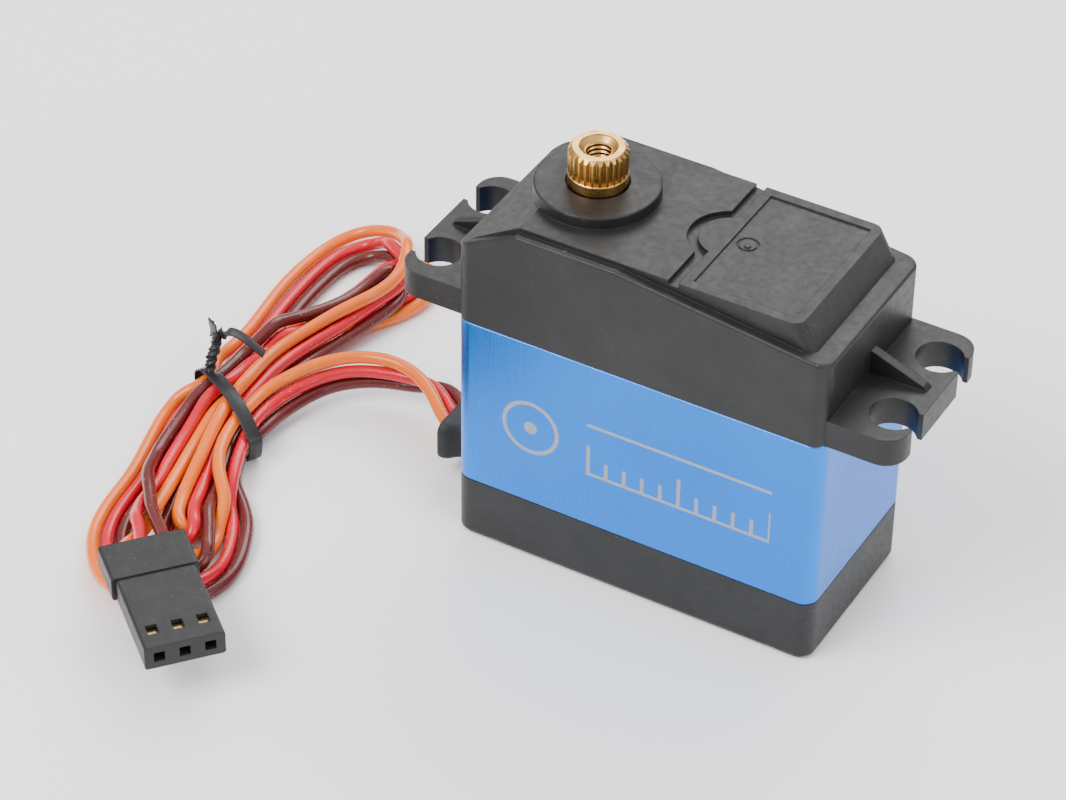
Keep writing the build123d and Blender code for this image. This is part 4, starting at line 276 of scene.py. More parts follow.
def vinyl(name, base):
    """Glossy PVC wire insulation: extrusion streaks along the wire, slight depth of colour, fingerprints."""
    k = Look(name)
    uv = k.t.nodes.new("ShaderNodeUVMap")
    uv.uv_map = "wire"
    u = uv.outputs[0]
    streak = k.noise(1.0, 4, 0.6, k.scaled(0.5, 26, 1, u))
    along = k.noise(1.0, 3, 0.6, k.scaled(0.12, 1.2, 1, u))
    dust = k.calc("MULTIPLY", k.span(k.noise(4200, 1, 0.4), 0.73, 0.76), 0.45)
    col = k.mix(k.span(along, 0.3, 0.7), shade(base, 0.9), shade(base, 1.08))
    col = k.mix(k.calc("MULTIPLY", k.span(streak, 0.5, 0.75), 0.18), col, shade(base, 0.72))
    col = k.mix(dust, col, (0.6, 0.58, 0.55))
    k.set(color=col, rough=k.span(streak, 0.3, 0.7, 0.17, 0.27), spec=0.34, coat=0.12, coat_rough=0.1, sss=0.04, sss_scale=0.0006)
    k.bump(streak, 0.000012, 0.35).bump(k.noise(900, 3, 0.55), 0.00002, 0.25)
    return k.done()


def board():
    base = colour_of["board_green"]
    k = Look("board_green")
    x, y, z = k.axes()
    weave = k.calc("MULTIPLY", k.calc("SINE", k.calc("MULTIPLY", x, 9000)), k.calc("SINE", k.calc("MULTIPLY", y, 9000)))
    cell = k.cells(420, k.scaled(1, 0.6, 1))
    trace = k.calc("MULTIPLY", k.span(cell, 0.28, 0.31), k.span(cell, 0.37, 0.4, 1, 0))
    via = k.span(k.cells(300), 0.14, 0.16, 1, 0)
    col = k.mix(trace, base, shade(base, 1.9))
    col = k.mix(via, col, (0.75, 0.72, 0.6))
    k.set(color=col, rough=k.span(k.noise(2000), 0.3, 0.7, 0.25, 0.4), metal=via, coat=0.4, coat_rough=0.15)
    k.bump(k.calc("ADD", k.calc("MULTIPLY", weave, 0.2), trace), 0.00002, 0.6)
    return k.done()


def wound():
    """Motor core: stacked laminations with copper wire wound between them and a bright shaft."""
    k = Look("copper_core")
    x, y, z = k.axes()
    dx = k.calc("SUBTRACT", x, 0.0196)
    r = k.calc("SQRT", k.calc("ADD", k.calc("MULTIPLY", dx, dx), k.calc("MULTIPLY", y, y)))
    lam = k.calc("SINE", k.calc("MULTIPLY", z, 2 * math.pi / 0.00035))
    wire = k.calc("SINE", k.calc("MULTIPLY", k.calc("ADD", k.calc("ARCTAN2", y, dx), k.calc("MULTIPLY", z, 40)), 60))
    coil = k.span(k.noise(700, 3, 0.6), 0.45, 0.55)
    rod = k.span(r, 0.0012, 0.0013, 1, 0)
    col = k.mix(coil, (0.42, 0.42, 0.43), (0.62, 0.24, 0.09))
    col = k.mix(rod, col, (0.7, 0.7, 0.71))
    k.set(color=col, rough=k.span(k.noise(3000), 0.3, 0.7, 0.25, 0.45), metal=0.95)
    k.soften(0.00008)
    k.bump(k.calc("ADD", lam, k.calc("MULTIPLY", wire, coil)), 0.00003, 0.5)
    return k.done()


def chips():
    k = Look("passive_tan")
    x, y, z = k.axes()
    base = colour_of["passive_tan"]
    grain = k.noise(9000, 3, 0.6)
    end = k.span(k.noise(1.0, 0, 0.5, k.scaled(1300, 200, 200)), 0.52, 0.56)
    col = k.mix(k.span(grain, 0.3, 0.7), shade(base, 0.7), shade(base, 1.25))
    col = k.mix(end, col, (0.6, 0.6, 0.58))
    k.set(color=col, rough=k.span(grain, 0.3, 0.7, 0.35, 0.6), metal=end)
    k.soften(0.00008)
    k.bump(grain, 0.00001, 0.5)
    return k.done()


C = colour_of
looks = {
    "top_case": moulded("black_plastic", shade(C["black_plastic"], 0.42), rough=0.42, dust=0.12),
    "mid_case": anodised(),
    "case_screws": turned("dark_screw", C["dark_screw"], rough=0.34),
    "output_gear": turned("gear_brass_output", (0.60, 0.35, 0.11), thread=True, rough=0.22),
    "compound_gear_1": turned("gear_brass_1", C["gear_brass"], cx=0.010),
    "compound_gear_2": turned("gear_brass_2", C["gear_brass"]),
    "compound_gear_3": turned("gear_brass_3", C["gear_brass"], cx=0.010),
    "motor_pinion": turned("gear_brass_pinion", C["gear_brass"], cx=0.0196),
    "output_bearing_top": turned("bearing_steel", C["bearing_steel"], rough=0.16, tarnish=0.15),
    "mid_pin": turned("pin_steel", C["pin_steel"], cx=0.010, rough=0.14, tarnish=0.1),
    "motor_can": rolled("motor_steel", C["motor_steel"]),
    "motor_endbell": moulded("motor_plastic", C["motor_plastic"], rough=0.5, dust=0.1),
    "motor_armature": wound(),
    "motor_screws": turned("bright_screw", C["bright_screw"], cx=0.0196, rough=0.25),
    "motor_terminals": rolled("contact_brass", C["contact_brass"]),
    "pot_body": moulded("pot_shell", C["pot_shell"], rough=0.5, dust=0.1),
    "pot_shaft": turned("pot_spindle", C["pot_spindle"], rough=0.22),
    "pot_terminals": rolled("contact_tin", C["contact_tin"], rough=0.36),
    "circuit_board": board(),
    "driver_chip": moulded("chip_black", C["chip_black"], rough=0.38, grain=9000, depth=0.00001, dust=0.05, edge=0.00005),
    "board_passives": chips(),
    "connector_housing": moulded("plug_black", shade(C["plug_black"], 0.5), rough=0.4, grain=4200, dust=0.1, edge=0.00018),
    # painted shade: the contacts' gold is darkened to 0.45, standing in for the shade inside the plug's windows
    "connector_terminals": rolled("contact_gold", shade(C["contact_gold"], 0.45), rough=0.24, along=(1, 8, 1)),
}
looks["bottom_cover"] = looks["top_case"]
looks["output_bearing_lower"] = looks["output_bearing_top"]
for n, o in frame["nodes"].items():
    if n in looks:
        o.data.materials.clear()
        o.data.materials.append(looks[n])

rubber = moulded("black_rubber", C["black_rubber"], rough=0.6, grain=3800, depth=0.00002, dust=0.3, edge=0)
tape = moulded("tie_black", C["tie_black"], rough=0.36, grain=2600, depth=0.00002, dust=0.3, edge=0)

# centre lines of the conductors and the tie's outline, as in the CAD (mm)
signal_path = [
    (-6.20, -1.50, 4.20), (-8.00, -1.50, 4.20), (-9.00, -1.50, 4.20), (-10.00, -1.50, 4.20), (-11.00, -1.50, 4.20),
    (-12.00, -1.50, 4.20), (-13.00, -1.50, 4.20), (-14.00, -1.50, 4.20), (-14.93, -1.39, 4.27), (-15.78, -1.12, 4.42),
    (-16.60, -0.76, 4.58), (-17.36, -0.29, 4.75), (-18.10, 0.29, 4.92), (-18.82, 0.91, 5.07), (-19.55, 1.54, 5.18),
    (-20.32, 2.14, 5.26), (-21.14, 2.69, 5.32), (-22.01, 3.17, 5.36), (-22.90, 3.62, 5.40), (-23.88, 3.89, 5.41),
    (-24.87, 4.06, 5.44), (-25.87, 4.13, 5.43), (-26.87, 4.08, 5.39), (-27.86, 3.91, 5.34), (-28.81, 3.62, 5.27),
    (-29.73, 3.22, 5.20), (-30.59, 2.72, 5.12), (-31.39, 2.13, 5.03), (-32.13, 1.46, 4.93), (-32.82, 0.74, 4.81),
    (-33.46, -0.03, 4.67), (-34.06, -0.82, 4.49), (-34.63, -1.62, 4.29), (-35.15, -2.46, 4.07), (-35.60, -3.34, 3.89),
    (-35.93, -4.27, 3.76), (-36.11, -5.25, 3.71), (-36.14, -6.25, 3.74), (-36.11, -7.25, 3.81), (-36.04, -8.25, 3.88),
    (-35.98, -9.25, 3.94), (-35.93, -10.24, 3.97), (-35.88, -11.22, 3.94), (-35.75, -12.18, 3.89), (-35.53, -13.13, 3.85),
    (-35.27, -14.08, 3.83), (-34.97, -15.02, 3.83), (-34.58, -15.93, 3.80), (-34.11, -16.82, 3.72), (-33.56, -17.67, 3.59),
    (-32.93, -18.48, 3.40), (-32.21, -19.22, 3.19), (-31.46, -19.93, 2.92), (-30.82, -20.65, 2.53), (-30.43, -21.46, 2.10),
    (-30.25, -22.29, 1.67), (-30.01, -23.08, 1.26), (-29.65, -23.85, 0.97), (-29.26, -24.66, 0.85), (-28.96, -25.53, 0.85),
    (-28.81, -26.44, 0.95), (-28.85, -27.36, 1.14), (-29.02, -28.25, 1.48), (-29.17, -29.09, 1.99), (-29.08, -29.97, 2.47),
    (-28.85, -30.91, 2.81), (-28.60, -31.88, 3.07), (-28.43, -32.87, 3.29), (-28.41, -33.87, 3.47), (-28.57, -34.85, 3.63),
    (-28.94, -35.77, 3.74), (-29.51, -36.57, 3.78), (-30.26, -37.19, 3.72), (-31.13, -37.58, 3.53), (-32.06, -37.71, 3.23),
    (-32.99, -37.57, 2.87), (-33.88, -37.23, 2.50), (-34.72, -36.72, 2.18), (-35.54, -36.12, 1.93), (-36.32, -35.46, 1.73),
    (-37.06, -34.75, 1.56), (-37.77, -33.99, 1.43), (-38.44, -33.20, 1.30), (-39.08, -32.37, 1.19), (-39.66, -31.51, 1.09),
    (-40.19, -30.63, 1.00), (-40.64, -29.72, 0.92), (-41.03, -28.78, 0.86), (-41.34, -27.81, 0.81), (-41.60, -26.82, 0.79),
    (-41.81, -25.84, 0.78), (-41.97, -24.85, 0.78), (-42.09, -23.86, 0.78), (-42.19, -22.87, 0.79), (-42.31, -21.88, 0.79),
    (-42.46, -20.90, 0.80), (-42.64, -19.93, 0.82), (-42.86, -18.97, 0.84), (-43.10, -18.01, 0.86), (-43.36, -17.06, 0.89),
    (-43.62, -16.10, 0.93), (-43.86, -15.15, 0.97), (-44.10, -14.19, 1.01), (-44.34, -13.22, 1.05), (-44.57, -12.25, 1.09),
    (-44.77, -11.29, 1.12), (-44.89, -10.34, 1.14), (-44.91, -9.47, 1.33), (-44.73, -8.76, 1.80), (-44.20, -8.27, 2.42),
    (-43.40, -7.81, 2.82), (-42.97, -7.05, 3.03), (-42.63, -6.14, 3.21), (-42.56, -5.07, 3.18), (-43.39, -3.71, 2.80),
    (-44.22, -2.34, 2.28), (-44.80, -1.01, 1.80), (-45.11, 0.26, 1.40), (-45.22, 1.47, 1.11), (-45.24, 2.62, 0.94),
    (-45.25, 3.71, 0.85), (-45.29, 4.77, 0.82), (-45.36, 5.80, 0.81), (-45.47, 6.82, 0.80), (-45.60, 7.82, 0.80),
    (-45.74, 8.82, 0.80), (-45.89, 9.81, 0.80), (-46.03, 10.81, 0.80), (-46.17, 11.80, 0.80), (-46.29, 12.80, 0.80),
    (-46.39, 13.79, 0.80), (-46.47, 14.79, 0.80), (-46.52, 15.79, 0.80), (-46.54, 16.80, 0.80), (-46.53, 17.80, 0.80),
    (-46.49, 18.80, 0.79), (-46.42, 19.81, 0.79), (-46.34, 20.81, 0.78), (-46.21, 21.81, 0.78), (-46.04, 22.79, 0.80),
    (-45.76, 23.75, 0.86), (-45.35, 24.64, 0.98), (-44.79, 25.41, 1.17), (-44.07, 26.02, 1.44), (-43.24, 26.42, 1.76),
    (-42.34, 26.59, 2.11), (-41.42, 26.55, 2.48), (-40.51, 26.36, 2.86), (-39.61, 26.04, 3.24), (-38.76, 25.61, 3.62),
    (-37.96, 25.01, 3.98), (-37.21, 24.33, 4.39), (-36.48, 23.64, 4.87), (-35.79, 22.91, 5.38), (-35.20, 22.04, 5.71),
    (-34.71, 21.11, 5.75), (-34.30, 20.18, 5.60), (-33.96, 19.27, 5.41), (-33.72, 18.34, 5.27), (-33.60, 17.38, 5.17),
    (-33.61, 16.39, 5.08), (-33.76, 15.41, 5.00), (-34.02, 14.44, 4.91), (-34.36, 13.50, 4.82), (-34.77, 12.58, 4.73),
    (-35.22, 11.68, 4.64), (-35.67, 10.80, 4.53), (-36.10, 9.91, 4.41), (-36.51, 9.01, 4.28), (-36.89, 8.09, 4.15),
    (-37.23, 7.16, 4.06), (-37.54, 6.20, 4.00), (-37.81, 5.23, 3.97), (-38.06, 4.26, 3.93), (-38.34, 3.30, 3.87),
    (-38.57, 2.33, 3.81), (-38.72, 1.33, 3.80), (-38.79, 0.30, 3.83), (-38.77, -0.73, 3.94), (-38.68, -1.77, 4.08),
    (-38.55, -2.80, 4.20), (-38.43, -3.82, 4.27), (-38.36, -4.83, 4.30), (-38.31, -5.85, 4.32), (-38.23, -6.87, 4.34),
    (-38.11, -7.90, 4.37), (-37.93, -8.93, 4.42), (-37.71, -9.96, 4.46), (-37.48, -11.00, 4.47), (-37.25, -12.03, 4.42),
    (-37.03, -13.03, 4.30), (-36.81, -14.00, 4.16), (-36.57, -14.96, 4.03), (-36.33, -15.89, 3.88), (-36.10, -16.82, 3.72),
    (-35.89, -17.74, 3.55), (-35.69, -18.65, 3.35), (-35.51, -19.56, 3.14), (-35.32, -20.45, 2.93), (-35.13, -21.34, 2.71),
    (-34.88, -22.22, 2.52), (-34.56, -23.09, 2.38), (-34.22, -23.91, 2.33), (-33.91, -24.64, 2.36), (-33.62, -25.19, 2.39),
    (-33.29, -25.53, 2.35), (-32.94, -25.78, 2.24), (-32.54, -25.92, 2.08), (-32.17, -25.92, 1.82), (-31.87, -25.83, 1.49),
    (-31.65, -25.57, 1.19), (-31.52, -25.20, 0.95), (-31.51, -24.77, 0.80), (-31.60, -24.34, 0.78), (-31.79, -23.94, 0.78),
    (-32.18, -23.54, 0.78), (-32.64, -23.01, 0.79), (-33.04, -22.31, 0.79), (-33.37, -21.51, 0.80), (-33.69, -20.67, 0.81),
    (-34.00, -19.80, 0.82), (-34.31, -18.91, 0.84), (-34.64, -18.02, 0.88), (-34.99, -17.14, 0.93), (-35.35, -16.24, 0.99),
    (-35.72, -15.35, 1.07), (-36.08, -14.46, 1.16), (-36.42, -13.58, 1.27), (-36.72, -12.70, 1.37), (-37.01, -11.82, 1.48),
    (-37.27, -10.95, 1.57), (-37.50, -10.08, 1.65), (-37.69, -9.19, 1.70), (-37.86, -8.26, 1.73), (-38.02, -7.29, 1.71),
    (-38.10, -6.29, 1.66), (-38.12, -5.27, 1.58), (-38.19, -4.26, 1.47), (-38.30, -3.28, 1.36), (-38.33, -2.32, 1.25),
    (-38.27, -1.33, 1.15), (-38.16, -0.32, 1.07), (-38.03, 0.69, 1.08), (-37.90, 1.69, 1.11), (-37.74, 2.68, 1.14),
    (-37.56, 3.68, 1.13), (-37.37, 4.68, 1.09), (-37.12, 5.65, 1.04), (-36.82, 6.61, 1.00), (-36.55, 7.59, 0.95),
    (-36.27, 8.57, 0.91), (-35.99, 9.55, 0.87), (-35.68, 10.53, 0.83), (-35.35, 11.49, 0.79), (-35.00, 12.44, 0.78),
    (-34.57, 13.35, 0.78), (-34.07, 14.22, 0.78), (-33.53, 15.06, 0.78), (-33.01, 15.92, 0.78), (-32.58, 16.82, 0.80),
    (-32.25, 17.76, 0.83), (-31.99, 18.72, 0.88), (-31.82, 19.71, 0.92), (-31.79, 20.71, 0.94), (-31.97, 21.72, 0.93),
    (-32.31, 22.69, 0.91), (-32.78, 23.59, 0.90), (-33.37, 24.35, 0.91), (-34.10, 24.92, 0.91), (-34.96, 25.19, 0.90),
    (-35.85, 25.11, 0.87), (-36.66, 24.70, 0.82), (-37.34, 24.03, 0.79), (-37.85, 23.17, 0.76), (-38.18, 22.21, 0.78),
    (-38.39, 21.21, 0.78), (-38.55, 20.20, 0.78), (-38.71, 19.18, 0.78), (-38.88, 18.17, 0.78), (-39.06, 17.17, 0.78),
    (-39.26, 16.17, 0.78), (-39.48, 15.18, 0.78), (-39.70, 14.19, 0.78), (-39.92, 13.20, 0.78), (-40.13, 12.20, 0.78),
    (-40.33, 11.21, 0.83), (-40.49, 10.21, 0.98), (-40.63, 9.21, 1.28), (-40.68, 8.20, 1.68), (-40.58, 7.12, 2.05),
    (-40.36, 6.00, 2.24), (-39.98, 4.93, 2.16), (-39.52, 3.96, 2.16), (-39.13, 2.97, 2.31), (-38.96, 1.93, 2.32),
    (-38.90, 0.90, 2.30), (-38.93, -0.10, 2.33), (-39.01, -1.06, 2.41), (-39.07, -2.00, 2.50), (-39.08, -2.94, 2.61),
    (-39.04, -3.91, 2.75), (-38.99, -4.89, 2.88), (-38.97, -5.90, 2.98), (-39.02, -6.92, 3.07), (-39.11, -7.93, 3.16),
    (-39.17, -8.91, 3.19), (-39.14, -9.88, 3.16), (-39.02, -10.83, 3.09), (-38.88, -11.78, 2.99), (-38.73, -12.72, 2.85),
    (-38.59, -13.67, 2.69), (-38.43, -14.62, 2.56), (-38.27, -15.57, 2.49), (-38.07, -16.54, 2.46), (-37.86, -17.50, 2.42),
    (-37.64, -18.46, 2.38), (-37.42, -19.42, 2.38), (-37.20, -20.38, 2.41), (-36.97, -21.34, 2.45), (-36.75, -22.30, 2.49),
    (-36.52, -23.25, 2.56), (-36.29, -24.19, 2.63), (-36.06, -25.13, 2.72), (-35.80, -26.05, 2.79), (-35.51, -26.95, 2.86),
    (-35.20, -27.83, 2.95), (-34.93, -28.73, 3.01), (-34.75, -29.69, 3.07), (-34.67, -30.69, 3.25), (-34.57, -31.64, 3.61),
    (-34.35, -32.47, 4.08), (-34.05, -33.24, 4.53), (-33.77, -34.07, 4.92), (-33.51, -34.93, 5.32), (-33.24, -35.79, 5.74),
    (-32.73, -36.55, 5.95), (-31.97, -37.20, 5.95), (-30.83, -38.17, 5.95),
]
power_path = [
    (-6.20, 0.00, 4.20), (-8.00, 0.00, 4.20), (-9.00, 0.00, 4.20), (-10.00, 0.00, 4.20), (-11.00, 0.00, 4.20),
    (-12.00, 0.00, 4.20), (-13.00, 0.00, 4.20), (-14.00, 0.00, 4.20), (-14.93, 0.16, 4.22), (-15.78, 0.51, 4.26),
    (-16.59, 0.95, 4.31), (-17.36, 1.48, 4.37), (-18.10, 2.06, 4.42), (-18.84, 2.65, 4.46), (-19.60, 3.18, 4.46),
    (-20.41, 3.63, 4.41), (-21.27, 3.96, 4.32), (-22.17, 4.21, 4.20), (-23.09, 4.40, 4.06), (-24.08, 4.31, 3.97),
    (-25.07, 4.13, 3.95), (-26.04, 3.88, 3.96), (-27.01, 3.59, 3.97), (-27.95, 3.27, 3.94), (-28.88, 2.89, 3.89),
    (-29.77, 2.45, 3.81), (-30.62, 1.94, 3.71), (-31.40, 1.33, 3.60), (-32.11, 0.64, 3.49), (-32.73, -0.13, 3.36),
    (-33.27, -0.96, 3.23), (-33.76, -1.82, 3.09), (-34.19, -2.73, 2.95), (-34.58, -3.66, 2.81), (-34.89, -4.63, 2.68),
    (-35.11, -5.64, 2.60), (-35.21, -6.67, 2.59), (-35.16, -7.71, 2.66), (-35.01, -8.73, 2.77), (-34.83, -9.74, 2.86),
    (-34.60, -10.73, 2.88), (-34.31, -11.70, 2.80), (-33.99, -12.67, 2.70), (-33.65, -13.63, 2.63), (-33.29, -14.59, 2.60),
    (-32.92, -15.53, 2.56), (-32.54, -16.44, 2.47), (-32.13, -17.32, 2.34), (-31.73, -18.17, 2.13), (-31.38, -18.96, 1.78),
    (-30.98, -19.68, 1.36), (-30.45, -20.33, 1.01), (-29.82, -20.99, 0.81), (-29.21, -21.72, 0.78), (-28.70, -22.53, 0.78),
    (-28.24, -23.38, 0.78), (-27.81, -24.26, 0.78), (-27.41, -25.17, 0.78), (-27.05, -26.10, 0.80), (-26.74, -27.05, 0.87),
    (-26.50, -28.02, 1.00), (-26.36, -29.00, 1.19), (-26.34, -29.98, 1.42), (-26.41, -30.95, 1.66), (-26.55, -31.93, 1.88),
    (-26.76, -32.90, 2.05), (-27.05, -33.84, 2.18), (-27.46, -34.74, 2.26), (-27.99, -35.56, 2.29), (-28.67, -36.22, 2.30),
    (-29.48, -36.68, 2.28), (-30.39, -36.86, 2.26), (-31.32, -36.78, 2.23), (-32.22, -36.48, 2.18), (-33.07, -36.03, 2.09),
    (-33.89, -35.50, 1.95), (-34.67, -34.91, 1.80), (-35.41, -34.26, 1.64), (-36.12, -33.58, 1.48), (-36.80, -32.86, 1.33),
    (-37.43, -32.10, 1.19), (-38.03, -31.29, 1.06), (-38.58, -30.44, 0.95), (-39.07, -29.54, 0.87), (-39.49, -28.61, 0.81),
    (-39.84, -27.66, 0.78), (-40.11, -26.69, 0.78), (-40.32, -25.71, 0.78), (-40.47, -24.72, 0.78), (-40.59, -23.73, 0.79),
    (-40.70, -22.73, 0.79), (-40.82, -21.74, 0.80), (-40.96, -20.75, 0.81), (-41.14, -19.77, 0.83), (-41.34, -18.81, 0.86),
    (-41.56, -17.85, 0.89), (-41.78, -16.89, 0.94), (-42.01, -15.93, 0.99), (-42.26, -14.98, 1.05), (-42.54, -14.03, 1.11),
    (-42.83, -13.08, 1.17), (-43.09, -12.13, 1.22), (-43.29, -11.16, 1.26), (-43.40, -10.19, 1.30), (-43.37, -9.26, 1.33),
    (-43.17, -8.39, 1.37), (-42.94, -7.60, 1.42), (-42.72, -6.89, 1.56), (-42.54, -6.21, 1.71), (-42.49, -5.46, 1.78),
    (-42.74, -4.31, 1.55), (-43.11, -2.92, 1.23), (-43.44, -1.56, 1.02), (-43.64, -0.29, 0.93), (-43.73, 0.88, 0.88),
    (-43.74, 1.98, 0.84), (-43.71, 3.02, 0.82), (-43.69, 4.04, 0.81), (-43.72, 5.05, 0.80), (-43.78, 6.06, 0.80),
    (-43.87, 7.06, 0.80), (-43.98, 8.05, 0.80), (-44.10, 9.05, 0.80), (-44.22, 10.04, 0.80), (-44.32, 11.04, 0.80),
    (-44.42, 12.04, 0.80), (-44.50, 13.04, 0.80), (-44.56, 14.04, 0.80), (-44.61, 15.04, 0.80), (-44.64, 16.05, 0.80),
    (-44.66, 17.05, 0.80), (-44.65, 18.06, 0.80), (-44.62, 19.07, 0.79), (-44.54, 20.07, 0.79), (-44.42, 21.07, 0.78),
    (-44.21, 22.06, 0.78), (-43.90, 23.02, 0.78), (-43.45, 23.90, 0.82), (-42.82, 24.63, 0.95), (-42.04, 25.10, 1.21),
    (-41.19, 25.24, 1.61), (-40.37, 25.04, 2.14), (-39.64, 24.59, 2.75), (-38.92, 24.02, 3.34), (-38.11, 23.36, 3.69),
    (-37.26, 22.70, 3.98), (-36.39, 22.10, 4.29), (-35.46, 21.59, 4.30), (-34.62, 21.03, 4.25), (-34.08, 20.26, 4.04),
    (-33.74, 19.38, 3.86), (-33.57, 18.44, 3.76), (-33.59, 17.47, 3.67), (-33.76, 16.50, 3.60), (-34.02, 15.54, 3.53),
    (-34.30, 14.58, 3.44), (-34.56, 13.63, 3.34), (-34.80, 12.67, 3.24), (-35.02, 11.70, 3.16), (-35.23, 10.73, 3.10),
    (-35.44, 9.76, 3.07), (-35.67, 8.79, 3.05), (-35.93, 7.83, 3.04), (-36.20, 6.86, 3.01), (-36.48, 5.90, 2.99),
    (-36.75, 4.93, 2.95), (-37.00, 3.96, 2.93), (-37.22, 2.97, 2.92), (-37.40, 1.98, 2.94), (-37.52, 0.98, 2.96),
    (-37.59, -0.03, 2.99), (-37.64, -1.04, 3.00), (-37.66, -2.05, 3.01), (-37.64, -3.05, 3.02), (-37.58, -4.05, 3.06),
    (-37.52, -5.06, 3.09), (-37.48, -6.07, 3.09), (-37.43, -7.08, 3.09), (-37.33, -8.09, 3.11), (-37.22, -9.11, 3.11),
    (-37.14, -10.14, 3.09), (-37.07, -11.15, 3.03), (-36.96, -12.14, 2.93), (-36.75, -13.09, 2.81), (-36.47, -14.00, 2.69),
    (-36.12, -14.90, 2.59), (-35.74, -15.78, 2.51), (-35.35, -16.67, 2.44), (-34.95, -17.55, 2.39), (-34.59, -18.45, 2.35),
    (-34.26, -19.38, 2.33), (-33.93, -20.34, 2.31), (-33.62, -21.33, 2.30), (-33.26, -22.34, 2.35), (-32.84, -23.33, 2.47),
    (-32.30, -24.20, 2.68), (-31.70, -24.90, 2.87), (-31.23, -25.49, 2.90), (-30.95, -25.98, 2.70), (-30.81, -26.38, 2.40),
    (-30.78, -26.72, 2.10), (-30.90, -27.00, 1.76), (-31.14, -27.20, 1.43), (-31.47, -27.29, 1.15), (-31.87, -27.26, 0.93),
    (-32.28, -27.11, 0.80), (-32.70, -26.86, 0.78), (-33.10, -26.43, 0.78), (-33.37, -25.73, 0.78), (-33.61, -24.88, 0.78),
    (-33.92, -23.99, 0.79), (-34.31, -23.11, 0.79), (-34.70, -22.21, 0.80), (-35.06, -21.28, 0.81), (-35.40, -20.34, 0.82),
    (-35.73, -19.39, 0.84), (-36.08, -18.44, 0.88), (-36.44, -17.50, 0.93), (-36.81, -16.59, 0.99), (-37.18, -15.69, 1.07),
    (-37.54, -14.80, 1.16), (-37.88, -13.90, 1.26), (-38.19, -12.99, 1.37), (-38.48, -12.07, 1.48), (-38.75, -11.15, 1.57),
    (-38.97, -10.22, 1.65), (-39.17, -9.29, 1.69), (-39.35, -8.36, 1.71), (-39.51, -7.44, 1.69), (-39.58, -6.51, 1.65),
    (-39.54, -5.56, 1.58), (-39.64, -4.57, 1.48), (-39.76, -3.57, 1.37), (-39.82, -2.53, 1.25), (-39.77, -1.47, 1.14),
    (-39.66, -0.41, 1.05), (-39.52, 0.63, 0.97), (-39.38, 1.65, 0.91), (-39.23, 2.65, 0.86), (-39.02, 3.67, 0.83),
    (-38.85, 4.69, 0.82), (-38.64, 5.68, 0.82), (-38.36, 6.65, 0.81), (-38.07, 7.62, 0.80), (-37.81, 8.60, 0.79),
    (-37.54, 9.58, 0.78), (-37.25, 10.55, 0.78), (-36.94, 11.51, 0.78), (-36.60, 12.45, 0.78), (-36.23, 13.38, 0.78),
    (-35.85, 14.31, 0.79), (-35.45, 15.22, 0.80), (-35.02, 16.13, 0.81), (-34.56, 17.01, 0.80), (-34.07, 17.90, 0.79),
    (-33.61, 18.80, 0.78), (-33.31, 19.74, 0.78), (-33.28, 20.70, 0.79), (-33.46, 21.54, 0.91), (-33.73, 22.17, 1.20),
    (-34.11, 22.55, 1.58), (-34.58, 22.71, 1.98), (-35.10, 22.67, 2.37), (-35.64, 22.41, 2.69), (-36.19, 21.92, 2.83),
    (-36.78, 21.34, 2.83), (-37.20, 20.60, 2.71), (-37.47, 19.76, 2.52), (-37.65, 18.85, 2.33), (-37.80, 17.91, 2.18),
    (-37.95, 16.94, 2.08), (-38.10, 15.96, 2.03), (-38.26, 14.96, 2.04), (-38.43, 13.95, 2.08), (-38.61, 12.95, 2.15),
    (-38.78, 11.95, 2.20), (-38.96, 10.94, 2.23), (-39.10, 9.91, 2.25), (-39.17, 8.87, 2.25), (-39.15, 7.80, 2.33),
    (-39.06, 6.76, 2.65), (-39.07, 5.77, 3.16), (-39.40, 4.80, 3.53), (-39.88, 3.86, 3.58), (-40.27, 2.99, 3.27),
    (-40.36, 2.10, 2.92), (-40.30, 1.17, 2.83), (-40.21, 0.22, 3.03), (-40.16, -0.78, 3.32), (-40.09, -1.81, 3.58),
    (-39.99, -2.88, 3.80), (-39.89, -3.97, 3.99), (-39.83, -5.07, 4.12), (-39.86, -6.16, 4.23), (-40.07, -7.20, 4.25),
    (-40.34, -8.18, 4.14), (-40.54, -9.11, 3.92), (-40.60, -9.96, 3.57), (-40.53, -10.77, 3.20), (-40.41, -11.63, 2.97),
    (-40.28, -12.54, 2.85), (-40.13, -13.47, 2.72), (-39.98, -14.42, 2.60), (-39.82, -15.39, 2.51), (-39.65, -16.36, 2.45),
    (-39.47, -17.33, 2.42), (-39.27, -18.30, 2.40), (-39.03, -19.25, 2.40), (-38.76, -20.19, 2.36), (-38.51, -21.14, 2.31),
    (-38.32, -22.12, 2.26), (-38.17, -23.12, 2.29), (-38.01, -24.11, 2.43), (-37.79, -25.06, 2.66), (-37.47, -25.95, 2.95),
    (-37.09, -26.78, 3.26), (-36.71, -27.59, 3.59), (-36.33, -28.39, 3.94), (-35.86, -29.16, 4.34), (-35.23, -29.86, 4.71),
    (-34.47, -30.55, 4.96), (-33.79, -31.30, 5.07), (-33.25, -32.10, 5.17), (-32.70, -32.86, 5.37), (-32.09, -33.58, 5.66),
    (-31.46, -34.29, 5.95), (-30.70, -34.94, 5.95), (-29.94, -35.59, 5.95), (-29.18, -36.24, 5.95),
]
